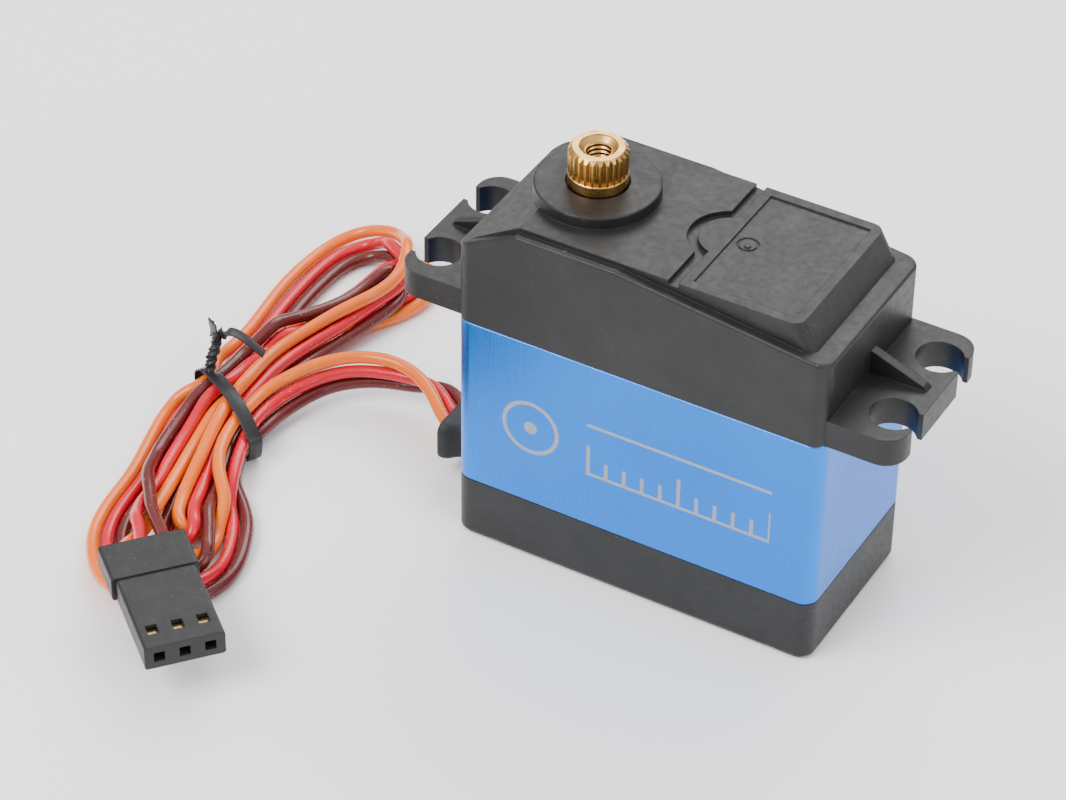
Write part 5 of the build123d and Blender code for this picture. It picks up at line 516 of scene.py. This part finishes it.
ground_path = [
    (-6.20, 1.50, 4.20), (-8.00, 1.50, 4.20), (-9.00, 1.50, 4.20), (-10.00, 1.50, 4.20), (-11.00, 1.50, 4.20),
    (-12.00, 1.50, 4.20), (-13.00, 1.50, 4.20), (-14.00, 1.50, 4.20), (-14.90, 1.72, 4.22), (-15.70, 2.19, 4.24),
    (-16.48, 2.71, 4.26), (-17.25, 3.29, 4.25), (-18.02, 3.86, 4.20), (-18.81, 4.37, 4.07), (-19.63, 4.76, 3.87),
    (-20.48, 5.00, 3.60), (-21.35, 5.11, 3.28), (-22.25, 5.09, 2.95), (-23.16, 4.98, 2.65), (-24.11, 4.75, 2.53),
    (-25.08, 4.51, 2.50), (-26.04, 4.23, 2.50), (-26.98, 3.90, 2.50), (-27.90, 3.49, 2.46), (-28.79, 3.04, 2.40),
    (-29.65, 2.52, 2.31), (-30.46, 1.95, 2.22), (-31.21, 1.30, 2.12), (-31.86, 0.56, 2.01), (-32.42, -0.26, 1.90),
    (-32.88, -1.14, 1.79), (-33.27, -2.06, 1.69), (-33.61, -3.01, 1.59), (-33.91, -3.97, 1.50), (-34.14, -4.96, 1.43),
    (-34.27, -5.98, 1.41), (-34.31, -6.99, 1.44), (-34.31, -8.00, 1.46), (-34.35, -8.98, 1.46), (-34.45, -9.91, 1.44),
    (-34.58, -10.80, 1.40), (-34.48, -11.75, 1.32), (-34.17, -12.75, 1.21), (-33.82, -13.74, 1.11), (-33.45, -14.68, 1.03),
    (-33.04, -15.58, 0.95), (-32.55, -16.41, 0.90), (-31.90, -17.11, 0.86), (-31.14, -17.70, 0.83), (-30.37, -18.35, 0.81),
    (-29.63, -19.07, 0.80), (-28.89, -19.81, 0.80), (-28.18, -20.63, 0.83), (-27.57, -21.53, 0.86), (-27.05, -22.46, 0.90),
    (-26.59, -23.40, 0.91), (-26.16, -24.34, 0.91), (-25.77, -25.27, 0.90), (-25.43, -26.21, 0.88), (-25.16, -27.16, 0.85),
    (-24.98, -28.14, 0.82), (-24.91, -29.14, 0.80), (-24.98, -30.14, 0.79), (-25.20, -31.12, 0.79), (-25.51, -32.09, 0.80),
    (-25.92, -33.02, 0.81), (-26.39, -33.92, 0.82), (-26.95, -34.75, 0.82), (-27.59, -35.51, 0.82), (-28.32, -36.14, 0.80),
    (-29.16, -36.57, 0.79), (-30.06, -36.73, 0.78), (-30.95, -36.58, 0.78), (-31.77, -36.16, 0.78), (-32.51, -35.57, 0.78),
    (-33.19, -34.88, 0.78), (-33.86, -34.16, 0.78), (-34.52, -33.42, 0.78), (-35.16, -32.67, 0.78), (-35.78, -31.90, 0.78),
    (-36.37, -31.12, 0.78), (-36.92, -30.32, 0.79), (-37.41, -29.51, 0.81), (-37.85, -28.67, 0.86), (-38.22, -27.80, 0.90),
    (-38.52, -26.88, 0.91), (-38.75, -25.92, 0.91), (-38.93, -24.94, 0.88), (-39.06, -23.94, 0.84), (-39.18, -22.94, 0.82),
    (-39.29, -21.94, 0.82), (-39.42, -20.95, 0.83), (-39.58, -19.96, 0.84), (-39.77, -18.99, 0.87), (-39.98, -18.03, 0.90),
    (-40.20, -17.07, 0.96), (-40.43, -16.11, 1.02), (-40.67, -15.15, 1.10), (-40.94, -14.19, 1.18), (-41.23, -13.22, 1.26),
    (-41.52, -12.25, 1.33), (-41.76, -11.27, 1.40), (-41.92, -10.31, 1.45), (-41.89, -9.38, 1.49), (-41.67, -8.47, 1.54),
    (-41.39, -7.57, 1.56), (-41.11, -6.64, 1.55), (-41.00, -5.60, 1.48), (-41.11, -4.47, 1.38), (-41.42, -3.39, 1.27),
    (-41.72, -2.35, 1.16), (-41.97, -1.32, 1.06), (-42.15, -0.28, 0.98), (-42.24, 0.80, 0.92), (-42.25, 1.88, 0.87),
    (-42.19, 2.93, 0.84), (-42.12, 3.94, 0.82), (-42.08, 4.94, 0.80), (-42.11, 5.93, 0.79), (-42.20, 6.92, 0.79),
    (-42.32, 7.90, 0.79), (-42.45, 8.89, 0.80), (-42.58, 9.89, 0.80), (-42.69, 10.88, 0.80), (-42.79, 11.88, 0.80),
    (-42.87, 12.88, 0.80), (-42.93, 13.88, 0.80), (-42.96, 14.88, 0.80), (-42.98, 15.89, 0.79), (-42.98, 16.90, 0.79),
    (-42.96, 17.90, 0.78), (-42.90, 18.92, 0.78), (-42.81, 19.92, 0.78), (-42.64, 20.92, 0.78), (-42.35, 21.87, 0.78),
    (-41.88, 22.72, 0.81), (-41.20, 23.38, 0.91), (-40.34, 23.72, 1.15), (-39.40, 23.74, 1.53), (-38.49, 23.52, 2.03),
    (-37.58, 23.16, 2.23), (-36.93, 22.68, 1.78), (-36.53, 21.92, 1.37), (-36.26, 20.90, 1.49), (-35.93, 19.86, 1.90),
    (-35.04, 19.26, 2.26), (-34.12, 18.78, 2.30), (-33.50, 18.08, 2.22), (-33.23, 17.17, 2.20), (-33.20, 16.18, 2.24),
    (-33.32, 15.18, 2.25), (-33.54, 14.18, 2.18), (-33.81, 13.21, 2.06), (-34.07, 12.26, 1.95), (-34.32, 11.30, 1.86),
    (-34.56, 10.34, 1.80), (-34.80, 9.37, 1.77), (-35.04, 8.40, 1.75), (-35.28, 7.43, 1.74), (-35.53, 6.46, 1.73),
    (-35.78, 5.49, 1.72), (-36.00, 4.52, 1.72), (-36.19, 3.54, 1.73), (-36.35, 2.57, 1.77), (-36.49, 1.59, 1.81),
    (-36.60, 0.62, 1.84), (-36.68, -0.35, 1.84), (-36.73, -1.33, 1.84), (-36.76, -2.31, 1.83), (-36.76, -3.30, 1.84),
    (-36.72, -4.29, 1.85), (-36.66, -5.29, 1.88), (-36.61, -6.28, 1.88), (-36.53, -7.28, 1.90), (-36.38, -8.27, 1.95),
    (-36.19, -9.28, 2.03), (-36.00, -10.28, 2.11), (-35.82, -11.27, 2.19), (-35.58, -12.23, 2.21), (-35.30, -13.16, 2.16),
    (-34.97, -14.06, 2.07), (-34.61, -14.95, 1.98), (-34.23, -15.84, 1.88), (-33.83, -16.75, 1.79), (-33.45, -17.69, 1.73),
    (-33.08, -18.67, 1.72), (-32.71, -19.65, 1.79), (-32.35, -20.62, 1.93), (-31.99, -21.57, 2.17), (-31.61, -22.48, 2.38),
    (-31.10, -23.34, 2.43), (-30.49, -24.16, 2.40), (-29.85, -24.99, 2.40), (-29.32, -25.90, 2.48), (-28.77, -26.80, 2.58),
    (-28.19, -27.66, 2.59), (-27.77, -28.47, 2.36), (-27.67, -29.20, 1.93), (-27.93, -29.81, 1.45), (-28.50, -30.28, 1.12),
    (-29.24, -30.52, 0.90), (-30.07, -30.42, 0.82), (-30.89, -29.98, 0.85), (-31.68, -29.39, 0.96), (-32.48, -28.77, 1.12),
    (-33.31, -28.14, 1.28), (-34.07, -27.40, 1.37), (-34.60, -26.48, 1.30), (-34.95, -25.47, 1.13), (-35.33, -24.47, 0.98),
    (-35.75, -23.50, 0.87), (-36.16, -22.53, 0.82), (-36.54, -21.57, 0.80), (-36.88, -20.60, 0.82), (-37.20, -19.66, 0.84),
    (-37.54, -18.73, 0.88), (-37.90, -17.83, 0.92), (-38.27, -16.92, 0.98), (-38.64, -16.02, 1.05), (-39.00, -15.11, 1.13),
    (-39.35, -14.21, 1.22), (-39.64, -13.32, 1.31), (-39.92, -12.45, 1.40), (-40.16, -11.60, 1.48), (-40.37, -10.75, 1.62),
    (-40.52, -9.91, 1.95), (-40.57, -9.06, 2.35), (-40.54, -8.12, 2.66), (-40.49, -7.11, 2.83), (-40.45, -6.05, 2.86),
    (-40.48, -4.98, 2.78), (-40.57, -3.85, 2.63), (-40.73, -2.71, 2.42), (-40.85, -1.57, 2.17), (-40.90, -0.46, 1.87),
    (-40.89, 0.60, 1.56), (-40.83, 1.63, 1.27), (-40.73, 2.65, 1.03), (-40.64, 3.68, 0.87), (-40.54, 4.70, 0.81),
    (-40.27, 5.71, 0.79), (-39.91, 6.68, 0.79), (-39.61, 7.65, 0.79), (-39.34, 8.64, 0.78), (-39.07, 9.63, 0.78),
    (-38.79, 10.61, 0.78), (-38.49, 11.57, 0.78), (-38.17, 12.52, 0.78), (-37.83, 13.45, 0.78), (-37.48, 14.38, 0.78),
    (-37.12, 15.32, 0.78), (-36.73, 16.25, 0.79), (-36.27, 17.18, 0.79), (-35.75, 18.09, 0.79), (-35.22, 18.94, 0.77),
    (-34.87, 19.67, 0.77), (-34.73, 20.20, 1.05), (-34.64, 20.58, 1.48), (-34.71, 20.82, 1.93), (-34.90, 20.88, 2.41),
    (-35.19, 20.79, 2.85), (-35.58, 20.52, 3.20), (-35.99, 20.08, 3.48), (-36.35, 19.39, 3.55), (-36.61, 18.52, 3.44),
    (-36.80, 17.57, 3.27), (-36.95, 16.58, 3.14), (-37.10, 15.59, 3.08), (-37.26, 14.58, 3.09), (-37.45, 13.58, 3.16),
    (-37.67, 12.58, 3.27), (-37.93, 11.60, 3.38), (-38.23, 10.62, 3.51), (-38.58, 9.68, 3.63), (-38.98, 8.76, 3.73),
    (-39.41, 7.86, 3.81), (-39.84, 6.96, 3.96), (-40.21, 6.01, 4.22), (-40.53, 5.02, 4.57), (-40.74, 3.94, 4.80),
    (-40.81, 2.89, 4.67), (-40.93, 1.94, 4.32), (-41.21, 1.05, 4.02), (-41.51, 0.16, 3.78), (-41.63, -0.79, 3.60),
    (-41.59, -1.80, 3.58), (-41.49, -2.84, 3.71), (-41.39, -3.90, 3.88), (-41.32, -4.96, 4.01), (-41.36, -6.00, 4.05),
    (-41.57, -6.98, 3.91), (-41.89, -7.88, 3.65), (-42.12, -8.76, 3.38), (-42.18, -9.66, 3.16), (-42.10, -10.59, 3.02),
    (-41.96, -11.54, 2.92), (-41.81, -12.52, 2.84), (-41.68, -13.50, 2.78), (-41.54, -14.49, 2.72), (-41.40, -15.49, 2.66),
    (-41.25, -16.48, 2.62), (-41.07, -17.47, 2.60), (-40.78, -18.42, 2.67), (-40.43, -19.33, 2.84), (-40.12, -20.24, 3.05),
    (-39.77, -21.13, 3.30), (-39.33, -21.99, 3.57), (-38.78, -22.79, 3.82), (-38.16, -23.57, 4.00), (-37.52, -24.32, 4.10),
    (-36.91, -25.08, 4.14), (-36.34, -25.85, 4.21), (-35.77, -26.61, 4.31), (-35.14, -27.33, 4.40), (-34.48, -28.02, 4.53),
    (-33.79, -28.70, 4.69), (-33.09, -29.37, 4.88), (-32.37, -30.03, 5.08), (-31.65, -30.70, 5.31), (-30.92, -31.36, 5.56),
    (-30.18, -32.03, 5.82), (-29.43, -32.68, 5.95), (-28.67, -33.33, 5.95), (-27.53, -34.30, 5.95),
]
tie_at = (-39.34, -8.09)
tie_angle = math.radians(-30.91)
tie_outline = [
    (1.97, 5.30), (-1.42, 5.10), (-3.21, 4.85), (-4.93, 3.79), (-5.17, 3.35), (-5.12, 1.57),
    (-4.89, 1.13), (-4.45, 0.90), (-3.46, 0.65), (6.52, 0.43), (6.96, 0.67), (7.19, 1.11),
    (7.51, 2.74), (7.37, 3.21), (7.13, 3.45), (4.75, 4.78),
]
knot_path = [(-42.08, -6.44, 4.97), (-42.03, -5.94, 6.47), (-41.95, -5.30, 7.60), (-41.95, -5.05, 8.70)]
tail_path = [(-41.9, -5.0, 8.5), (-40.7, -4.2, 9.15), (-39.2, -3.9, 8.7), (-37.4, -3.5, 7.3)]
stub_path = [(-41.95, -5.15, 8.0), (-42.45, -4.9, 10.2)]



# ---------------------------------------------------------------------------
# geometry helpers, in millimetres until the mesh is written
# ---------------------------------------------------------------------------
def unit(v):
    return v / np.maximum(np.linalg.norm(v, axis=-1, keepdims=True), 1e-12)


def resample(points, step, closed=False):
    """Evenly spaced points on a smooth curve through the given ones."""
    p = np.array(points, float)
    if closed:
        p = np.vstack([p[-3:], p, p[:3]])
    t = np.r_[0, np.cumsum(np.linalg.norm(np.diff(p, axis=0), axis=1) ** 0.5)]
    m = np.gradient(p, t, axis=0)
    dense, knots = [], []
    for i in range(len(p) - 1):
        s = np.linspace(0, 1, 12, endpoint=False)[:, None]
        h = t[i + 1] - t[i]
        dense.append((2 * s**3 - 3 * s**2 + 1) * p[i] + (s**3 - 2 * s**2 + s) * h * m[i] + (-2 * s**3 + 3 * s**2) * p[i + 1] + (s**3 - s**2) * h * m[i + 1])
    dense = np.vstack(dense + [p[-1:]])
    if closed:
        dense = dense[36:-36]
    d = np.r_[0, np.cumsum(np.linalg.norm(np.diff(dense, axis=0), axis=1))]
    n = max(2, int(round(d[-1] / step)))
    s = np.linspace(0, d[-1], n + 1)
    return np.stack([np.interp(s, d, dense[:, i]) for i in range(3)], 1)


def carried(points, first=(0, 0, 1)):
    """Tangent and two side directions at each point, turned as little as possible along the curve."""
    t = unit(np.gradient(points, axis=0))
    side = np.zeros_like(t)
    s = np.array(first, float)
    for i in range(len(t)):
        s = s - t[i] * (s @ t[i])
        s = s / np.linalg.norm(s)
        side[i] = s
    return t, side, np.cross(t, side)


def mesh_object(name, verts, faces, material, body="case", uv=None, smooth=True):
    me = bpy.data.meshes.new(name)
    me.from_pydata((np.array(verts, float) * MM).tolist(), [], [tuple(map(int, f)) for f in faces])
    me.validate()
    if uv is not None:
        layer = me.uv_layers.new(name="wire")
        idx = np.zeros(len(me.loops), int)
        me.loops.foreach_get("vertex_index", idx)
        layer.data.foreach_set("uv", np.array(uv, float)[idx].ravel())
    me.polygons.foreach_set("use_smooth", [smooth] * len(me.polygons))
    me.update()
    o = bpy.data.objects.new(name, me)
    bpy.context.scene.collection.objects.link(o)
    me.materials.append(material)
    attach(o, body)
    return o


def tube_faces(rings, m, closed=False):
    f = []
    for i in range(rings if closed else rings - 1):
        a, b = i * m, ((i + 1) % rings) * m
        for j in range(m):
            k = (j + 1) % m
            f.append((a + j, a + k, b + k, b + j))
    return f


# ---------------------------------------------------------------------------
# the three conductors: insulation with rounded cut ends
# ---------------------------------------------------------------------------
def conductor(name, path, node, material, seed, radius=0.68):
    p = resample(path, 0.32)
    for _ in range(16):                 # ease the tightest bends
        p[4:-4] = 0.5 * p[4:-4] + 0.25 * (p[3:-5] + p[5:-3])
    t, a, b = carried(p)
    m = 22
    n = len(p)
    rng = np.random.default_rng(seed)
    swell = np.interp(np.arange(n), np.arange(0, n + 40, 20), rng.normal(0, 0.006, len(np.arange(0, n + 40, 20))))
    r = radius + np.clip(swell, -0.012, 0.012)
    ang = np.linspace(0, 2 * math.pi, m, endpoint=False)
    rings, rad = list(p), list(r)
    ts, sa, sb = list(t), list(a), list(b)
    # rounded ends
    for at, sign in ((0, -1), (-1, 1)):
        for depth, shrink in ((0.05, 0.93), (0.07, 0.8)):
            q = p[at] + t[at] * sign * depth
            if at == 0:
                rings.insert(0, q); rad.insert(0, r[0] * shrink); ts.insert(0, t[0]); sa.insert(0, a[0]); sb.insert(0, b[0])
            else:
                rings.append(q); rad.append(r[-1] * shrink); ts.append(t[-1]); sa.append(a[-1]); sb.append(b[-1])
    rings, rad, sa, sb = map(np.array, (rings, rad, sa, sb))
    v = (rings[:, None] + rad[:, None, None] * (np.cos(ang)[None, :, None] * sa[:, None] + np.sin(ang)[None, :, None] * sb[:, None])).reshape(-1, 3)
    f = tube_faces(len(rings), m)
    f.append(tuple(range(m))[::-1])
    last = (len(rings) - 1) * m
    f.append(tuple(range(last, last + m)))
    d = np.r_[0, np.cumsum(np.linalg.norm(np.diff(rings, axis=0), axis=1))]
    uv = np.stack([np.repeat(d, m), np.tile(np.abs(ang / math.pi - 1), len(rings))], 1)
    o = mesh_object(name, v, f, material, uv=uv)
    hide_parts(node)
    return o


conductor("signal_wire", signal_path, "wire_signal", vinyl("wire_orange", (0.86, 0.15, 0.004)), 3)
conductor("power_wire", power_path, "wire_power", vinyl("wire_red", (0.62, 0.004, 0.02)), 4)
conductor("ground_wire", ground_path, "wire_ground", vinyl("wire_brown", (0.115, 0.014, 0.013)), 5)


# ---------------------------------------------------------------------------
# rubber boot: rings of rounded rectangles along x, outside then back through the wire passage
# ---------------------------------------------------------------------------
def rounded(hy, hz, r, m=64):
    """m points round a rounded rectangle, evenly shared between its sides and corners."""
    r = min(r, hy, hz)
    pts = []
    per = m // 4
    for q, (cy, cz) in enumerate(((hy - r, hz - r), (-(hy - r), hz - r), (-(hy - r), -(hz - r)), (hy - r, -(hz - r)))):
        for j in range(per):
            a = math.pi / 2 * (q + j / (per - 1))
            pts.append((cy + r * math.cos(a), cz + r * math.sin(a)))
    return np.array(pts)


lo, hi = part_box("strain_relief")
x_out, x_in = lo.x / MM, hi.x / MM
stations = [
    # x, half width, half height, corner, centre height
    (x_in, 2.9, 2.2, 0.5, 4.6), (x_in - 0.1, 3.15, 2.45, 0.6, 4.6), (x_in - 0.6, 3.15, 2.45, 0.6, 4.6), (x_in - 0.7, 3.0, 2.4, 0.6, 4.6),
    (-8.52, 2.6, 2.5, 0.5, 4.6), (-9.98, 2.6, 2.5, 0.5, 4.6), (-10.08, 2.95, 2.5, 0.7, 4.5), (-10.2, 3.1, 2.6, 0.8, 4.5),
    (-10.85, 3.1, 2.6, 0.8, 4.5), (-11.0, 2.98, 2.5, 0.8, 4.5), (-11.08, 2.78, 2.3, 0.9, 4.35), (-11.3, 2.7, 2.2, 0.9, 4.3),
    (-11.95, 2.68, 2.12, 0.9, 4.27), (-12.02, 2.8, 2.22, 0.9, 4.26), (-12.12, 2.93, 2.33, 0.9, 4.25), (-12.38, 2.93, 2.33, 0.9, 4.25),
    (-12.48, 2.8, 2.2, 0.9, 4.25), (-12.56, 2.66, 2.04, 0.9, 4.23), (-13.1, 2.64, 1.98, 0.9, 4.21), (-13.5, 2.68, 1.97, 0.9, 4.2),
    (-13.9, 2.85, 2.02, 0.9, 4.2), (-14.4, 3.15, 2.12, 1.0, 4.2), (-14.9, 3.5, 2.22, 1.0, 4.2), (-15.2, 3.7, 2.28, 1.1, 4.2),
    (-15.7, 3.76, 2.3, 1.1, 4.2), (x_out + 0.1, 3.74, 2.28, 1.1, 4.2), (x_out + 0.02, 3.66, 2.2, 1.05, 4.2), (x_out, 3.58, 2.1, 1.0, 4.2),
    (x_out + 0.01, 3.5, 1.6, 0.9, 4.2), (x_out + 0.08, 3.44, 1.5, 0.85, 4.2), (-15.4, 3.1, 1.3, 0.8, 4.2), (-14.7, 2.7, 1.08, 0.8, 4.2),
    (-14.2, 2.4, 0.86, 0.76, 4.2), (-13.9, 2.26, 0.75, 0.74, 4.2), (-11.0, 2.24, 0.74, 0.73, 4.2), (x_in + 0.0, 2.24, 0.74, 0.73, 4.2),
]
rings = []
for x, hy, hz, r, zc in stations:
    q = rounded(hy, hz, r)
    rings.append(np.c_[np.full(len(q), x), q[:, 0], q[:, 1] + zc])
m = len(rings[0])
boot = mesh_object("lead_boot", np.vstack(rings), tube_faces(len(rings), m, closed=True), rubber)
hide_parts("strain_relief")


# ---------------------------------------------------------------------------
# twist tie: one strip that runs down one side of the knot, round the lead and back up the other
# ---------------------------------------------------------------------------
e = np.array([math.cos(tie_angle), math.sin(tie_angle), 0.0])
nrm = np.array([-e[1], e[0], 0.0])
up = np.array([0, 0, 1.0])
c0 = np.array([tie_at[0], tie_at[1], 0.0])
poly = np.array(tie_outline, float)
mid = poly.mean(0)
out = []
n = len(poly)
for i in range(n):                      # move each corner outwards along the mean of its sides' normals
    a, b, c = poly[i - 1], poly[i], poly[(i + 1) % n]
    n1 = unit(np.array([(b - a)[1], -(b - a)[0]])); n2 = unit(np.array([(c - b)[1], -(c - b)[0]]))
    k = unit(n1 + n2)
    if k @ (b - mid) < 0:
        k = -k
    out.append(b + k * 0.19)
out = np.array(out)
knot_x = (np.array(knot_path[0][:2]) - c0[:2]) @ e[:2]
knot_z = knot_path[0][2]
order = np.argsort(-np.arctan2(out[:, 1] - mid[1], out[:, 0] - mid[0]))
out = out[order]                        # clockwise seen along the strip's width: over the top to the right, down, back under
start = int(np.argmin(np.where(out[:, 0] > knot_x, out[:, 0] - knot_x, 99) + np.where(out[:, 1] < 3.5, 50, 0)))
out = np.roll(out, -start, axis=0)
axis_pts = resample(knot_path, 0.12)
turns, core = 2.25, 0.31
na = len(axis_pts)
tk, _, _ = carried(axis_pts, nrm)


def spin(v, ax, ang):
    return v * math.cos(ang) + np.cross(ax, v) * math.sin(ang) + ax * (ax @ v) * (1 - math.cos(ang))


helix = {1: [], -1: []}
for i, (q, ax) in enumerate(zip(axis_pts, tk)):
    s = i / (na - 1)
    ang = 2 * math.pi * turns * s
    rad_dir = spin(unit(e - ax * (e @ ax)), ax, ang)
    wid_dir = spin(unit(nrm - ax * (nrm @ ax)), ax, ang)
    for sg in (1, -1):
        helix[sg].append((q + sg * core * rad_dir, wid_dir))
loop = [(c0 + e * x + up * z, nrm) for x, z in out]
loop = [q for q in loop if abs((q[0] - c0) @ e - knot_x) > 0.6 or (q[0] @ up) < 3]
top1, w1 = helix[1][-1]
top2, w2 = helix[-1][-1]
tail = [(np.array(q), np.array([0.45, -0.85, 0.1])) for q in tail_path[1:]]
tail.append((tail[-1][0] + unit(tail[-1][0] - tail[-2][0]) * 0.35, tail[-1][1]))
stub = [(np.array(stub_path[1]) + np.array([0.15, -0.1, -1.35]), w2), (np.array(stub_path[1]) - np.array([0, 0, 0.6]), w2), (np.array(stub_path[1]) + np.array([-0.05, 0.0, 0.0]), w2)]
strip_a = stub[::-1] + helix[-1][::-1]
strip_b = helix[1] + tail
# the strip leaves the helix's inner side, passes round the lead and comes back to its outer side
path_pts = [q for q, _ in strip_a] + [q for q, _ in loop[::-1]] + [q for q, _ in strip_b]
path_wid = [w for _, w in strip_a] + [w for _, w in loop[::-1]] + [w for _, w in strip_b]
path_pts, path_wid = np.array(path_pts), unit(np.array(path_wid, float))
keep = [0]
for i in range(1, len(path_pts)):
    if np.linalg.norm(path_pts[i] - path_pts[keep[-1]]) > 0.05:
        keep.append(i)
path_pts, path_wid = path_pts[keep], path_wid[keep]
d0 = np.r_[0, np.cumsum(np.linalg.norm(np.diff(path_pts, axis=0), axis=1))]
fine = resample(path_pts, 0.1)
d1 = np.linspace(0, d0[-1], len(fine))
wid = unit(np.stack([np.interp(d1, d0, path_wid[:, i]) for i in range(3)], 1))
for _ in range(6):
    fine[1:-1] = 0.5 * fine[1:-1] + 0.25 * (fine[:-2] + fine[2:])
    wid[1:-1] = unit(0.5 * wid[1:-1] + 0.25 * (wid[:-2] + wid[2:]))
tan = unit(np.gradient(fine, axis=0))
wid = unit(wid - tan * (wid * tan).sum(1, keepdims=True))
thick = np.cross(tan, wid)
half_w = np.full(len(fine), 0.78)
s_along = np.r_[0, np.cumsum(np.linalg.norm(np.diff(fine, axis=0), axis=1))]
half_w[s_along < 1.5] = 0.95
near = np.array([min(1.0, np.linalg.norm(axis_pts - q, axis=1).min() / 0.9) for q in fine])
zone = (near < 0.8) & (fine[:, 2] > knot_z + 0.2)
half_w[zone] = 0.7
for _ in range(10):
    half_w[1:-1] = 0.5 * half_w[1:-1] + 0.25 * (half_w[:-2] + half_w[2:])
prof = np.array([(-1, 0.0), (-0.97, 0.07), (-0.85, 0.09), (-0.4, 0.09), (-0.28, 0.12), (-0.15, 0.19), (0, 0.215), (0.15, 0.19), (0.28, 0.12), (0.4, 0.09), (0.85, 0.09), (0.97, 0.07),
                 (1, 0.0), (0.97, -0.07), (0.85, -0.09), (0.4, -0.09), (0.28, -0.1), (0, -0.12), (-0.28, -0.1), (-0.4, -0.09), (-0.85, -0.09), (-0.97, -0.07)])
m = len(prof)
v = (fine[:, None] + prof[None, :, 0, None] * half_w[:, None, None] * wid[:, None] + prof[None, :, 1, None] * thick[:, None]).reshape(-1, 3)
v[:, 2] = np.maximum(v[:, 2], 0.03)
f = tube_faces(len(fine), m)
f.append(tuple(range(m))[::-1])
last = (len(fine) - 1) * m
f.append(tuple(range(last, last + m)))
tie = mesh_object("lead_tie", v, f, tape)
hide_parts("twist_tie")


# ---------------------------------------------------------------------------
# stage, light and camera
# ---------------------------------------------------------------------------
k = Look("floor_paper")
k.set(color=k.mix(k.span(k.noise(9, 4, 0.6), 0.3, 0.7), (0.955, 0.955, 0.958), (0.985, 0.985, 0.985)), rough=k.span(k.noise(60), 0.3, 0.7, 0.55, 0.7), spec=0.3)
k.bump(k.noise(900, 4, 0.6), 0.00003, 0.15)
floor_me = bpy.data.meshes.new("floor")
floor_me.from_pydata([(-3, -3, 0), (3, -3, 0), (3, 3, 0), (-3, 3, 0)], [], [(0, 1, 2, 3)])
floor = bpy.data.objects.new("floor", floor_me)
floor.location = (0, 0, -0.00003)
floor_me.materials.append(k.done())
bpy.context.scene.collection.objects.link(floor)

world = bpy.data.worlds.new("studio")
bpy.context.scene.world = world
world.use_nodes = True
bg = world.node_tree.nodes["Background"]
wn, wl = world.node_tree.nodes, world.node_tree.links
coord = wn.new("ShaderNodeTexCoord")
split = wn.new("ShaderNodeSeparateXYZ")
wl.new(coord.outputs["Generated"], split.inputs[0])
fade = wn.new("ShaderNodeMapRange")
fade.inputs[1].default_value, fade.inputs[2].default_value = 0.0, 0.85
fade.inputs[3].default_value, fade.inputs[4].default_value = 0.22, 1.45
wl.new(split.outputs[2], fade.inputs[0])
wl.new(fade.outputs[0], bg.inputs[1])
bg.inputs[0].default_value = (1.0, 1.0, 1.0, 1)


def softbox(name, at, aim, size, power, colour=(1, 1, 1)):
    l = bpy.data.lights.new(name, "AREA")
    l.shape = "RECTANGLE"
    l.size, l.size_y = size
    l.energy = power
    l.color = colour
    o = bpy.data.objects.new(name, l)
    o.location = at
    o.rotation_mode = "QUATERNION"
    o.rotation_quaternion = (Vector(aim) - Vector(at)).to_track_quat("-Z", "Y")
    bpy.context.scene.collection.objects.link(o)


softbox("key", (-0.35, -0.55, 0.75), (0, 0, 0.02), (0.6, 0.45), 10.0)
softbox("fill", (0.75, -0.15, 0.45), (0, 0, 0.02), (0.5, 0.5), 3.0)
softbox("rim", (-0.1, 0.65, 0.6), (0, 0, 0.02), (0.7, 0.35), 4.5)

cam_data = bpy.data.cameras.new("camera")
cam_data.sensor_width = 36
cam_data.lens = 133.6
cam_data.clip_start, cam_data.clip_end = 0.01, 20
cam = bpy.data.objects.new("camera", cam_data)
az, el, roll = math.radians(29.527), math.radians(38.852), math.radians(0.786)
back = Vector((math.sin(az) * math.cos(el), -math.cos(az) * math.cos(el), math.sin(el)))
right = Vector((math.cos(az), math.sin(az), 0))
upv = back.cross(right)
r2 = right * math.cos(roll) + upv * math.sin(roll)
u2 = -right * math.sin(roll) + upv * math.cos(roll)
rot = Matrix((r2, u2, back)).transposed().to_4x4()
cam.matrix_world = Matrix.Translation(Vector((146.89, -271.37, 262.30)) * MM) @ rot
bpy.context.scene.collection.objects.link(cam)
bpy.context.scene.camera = cam
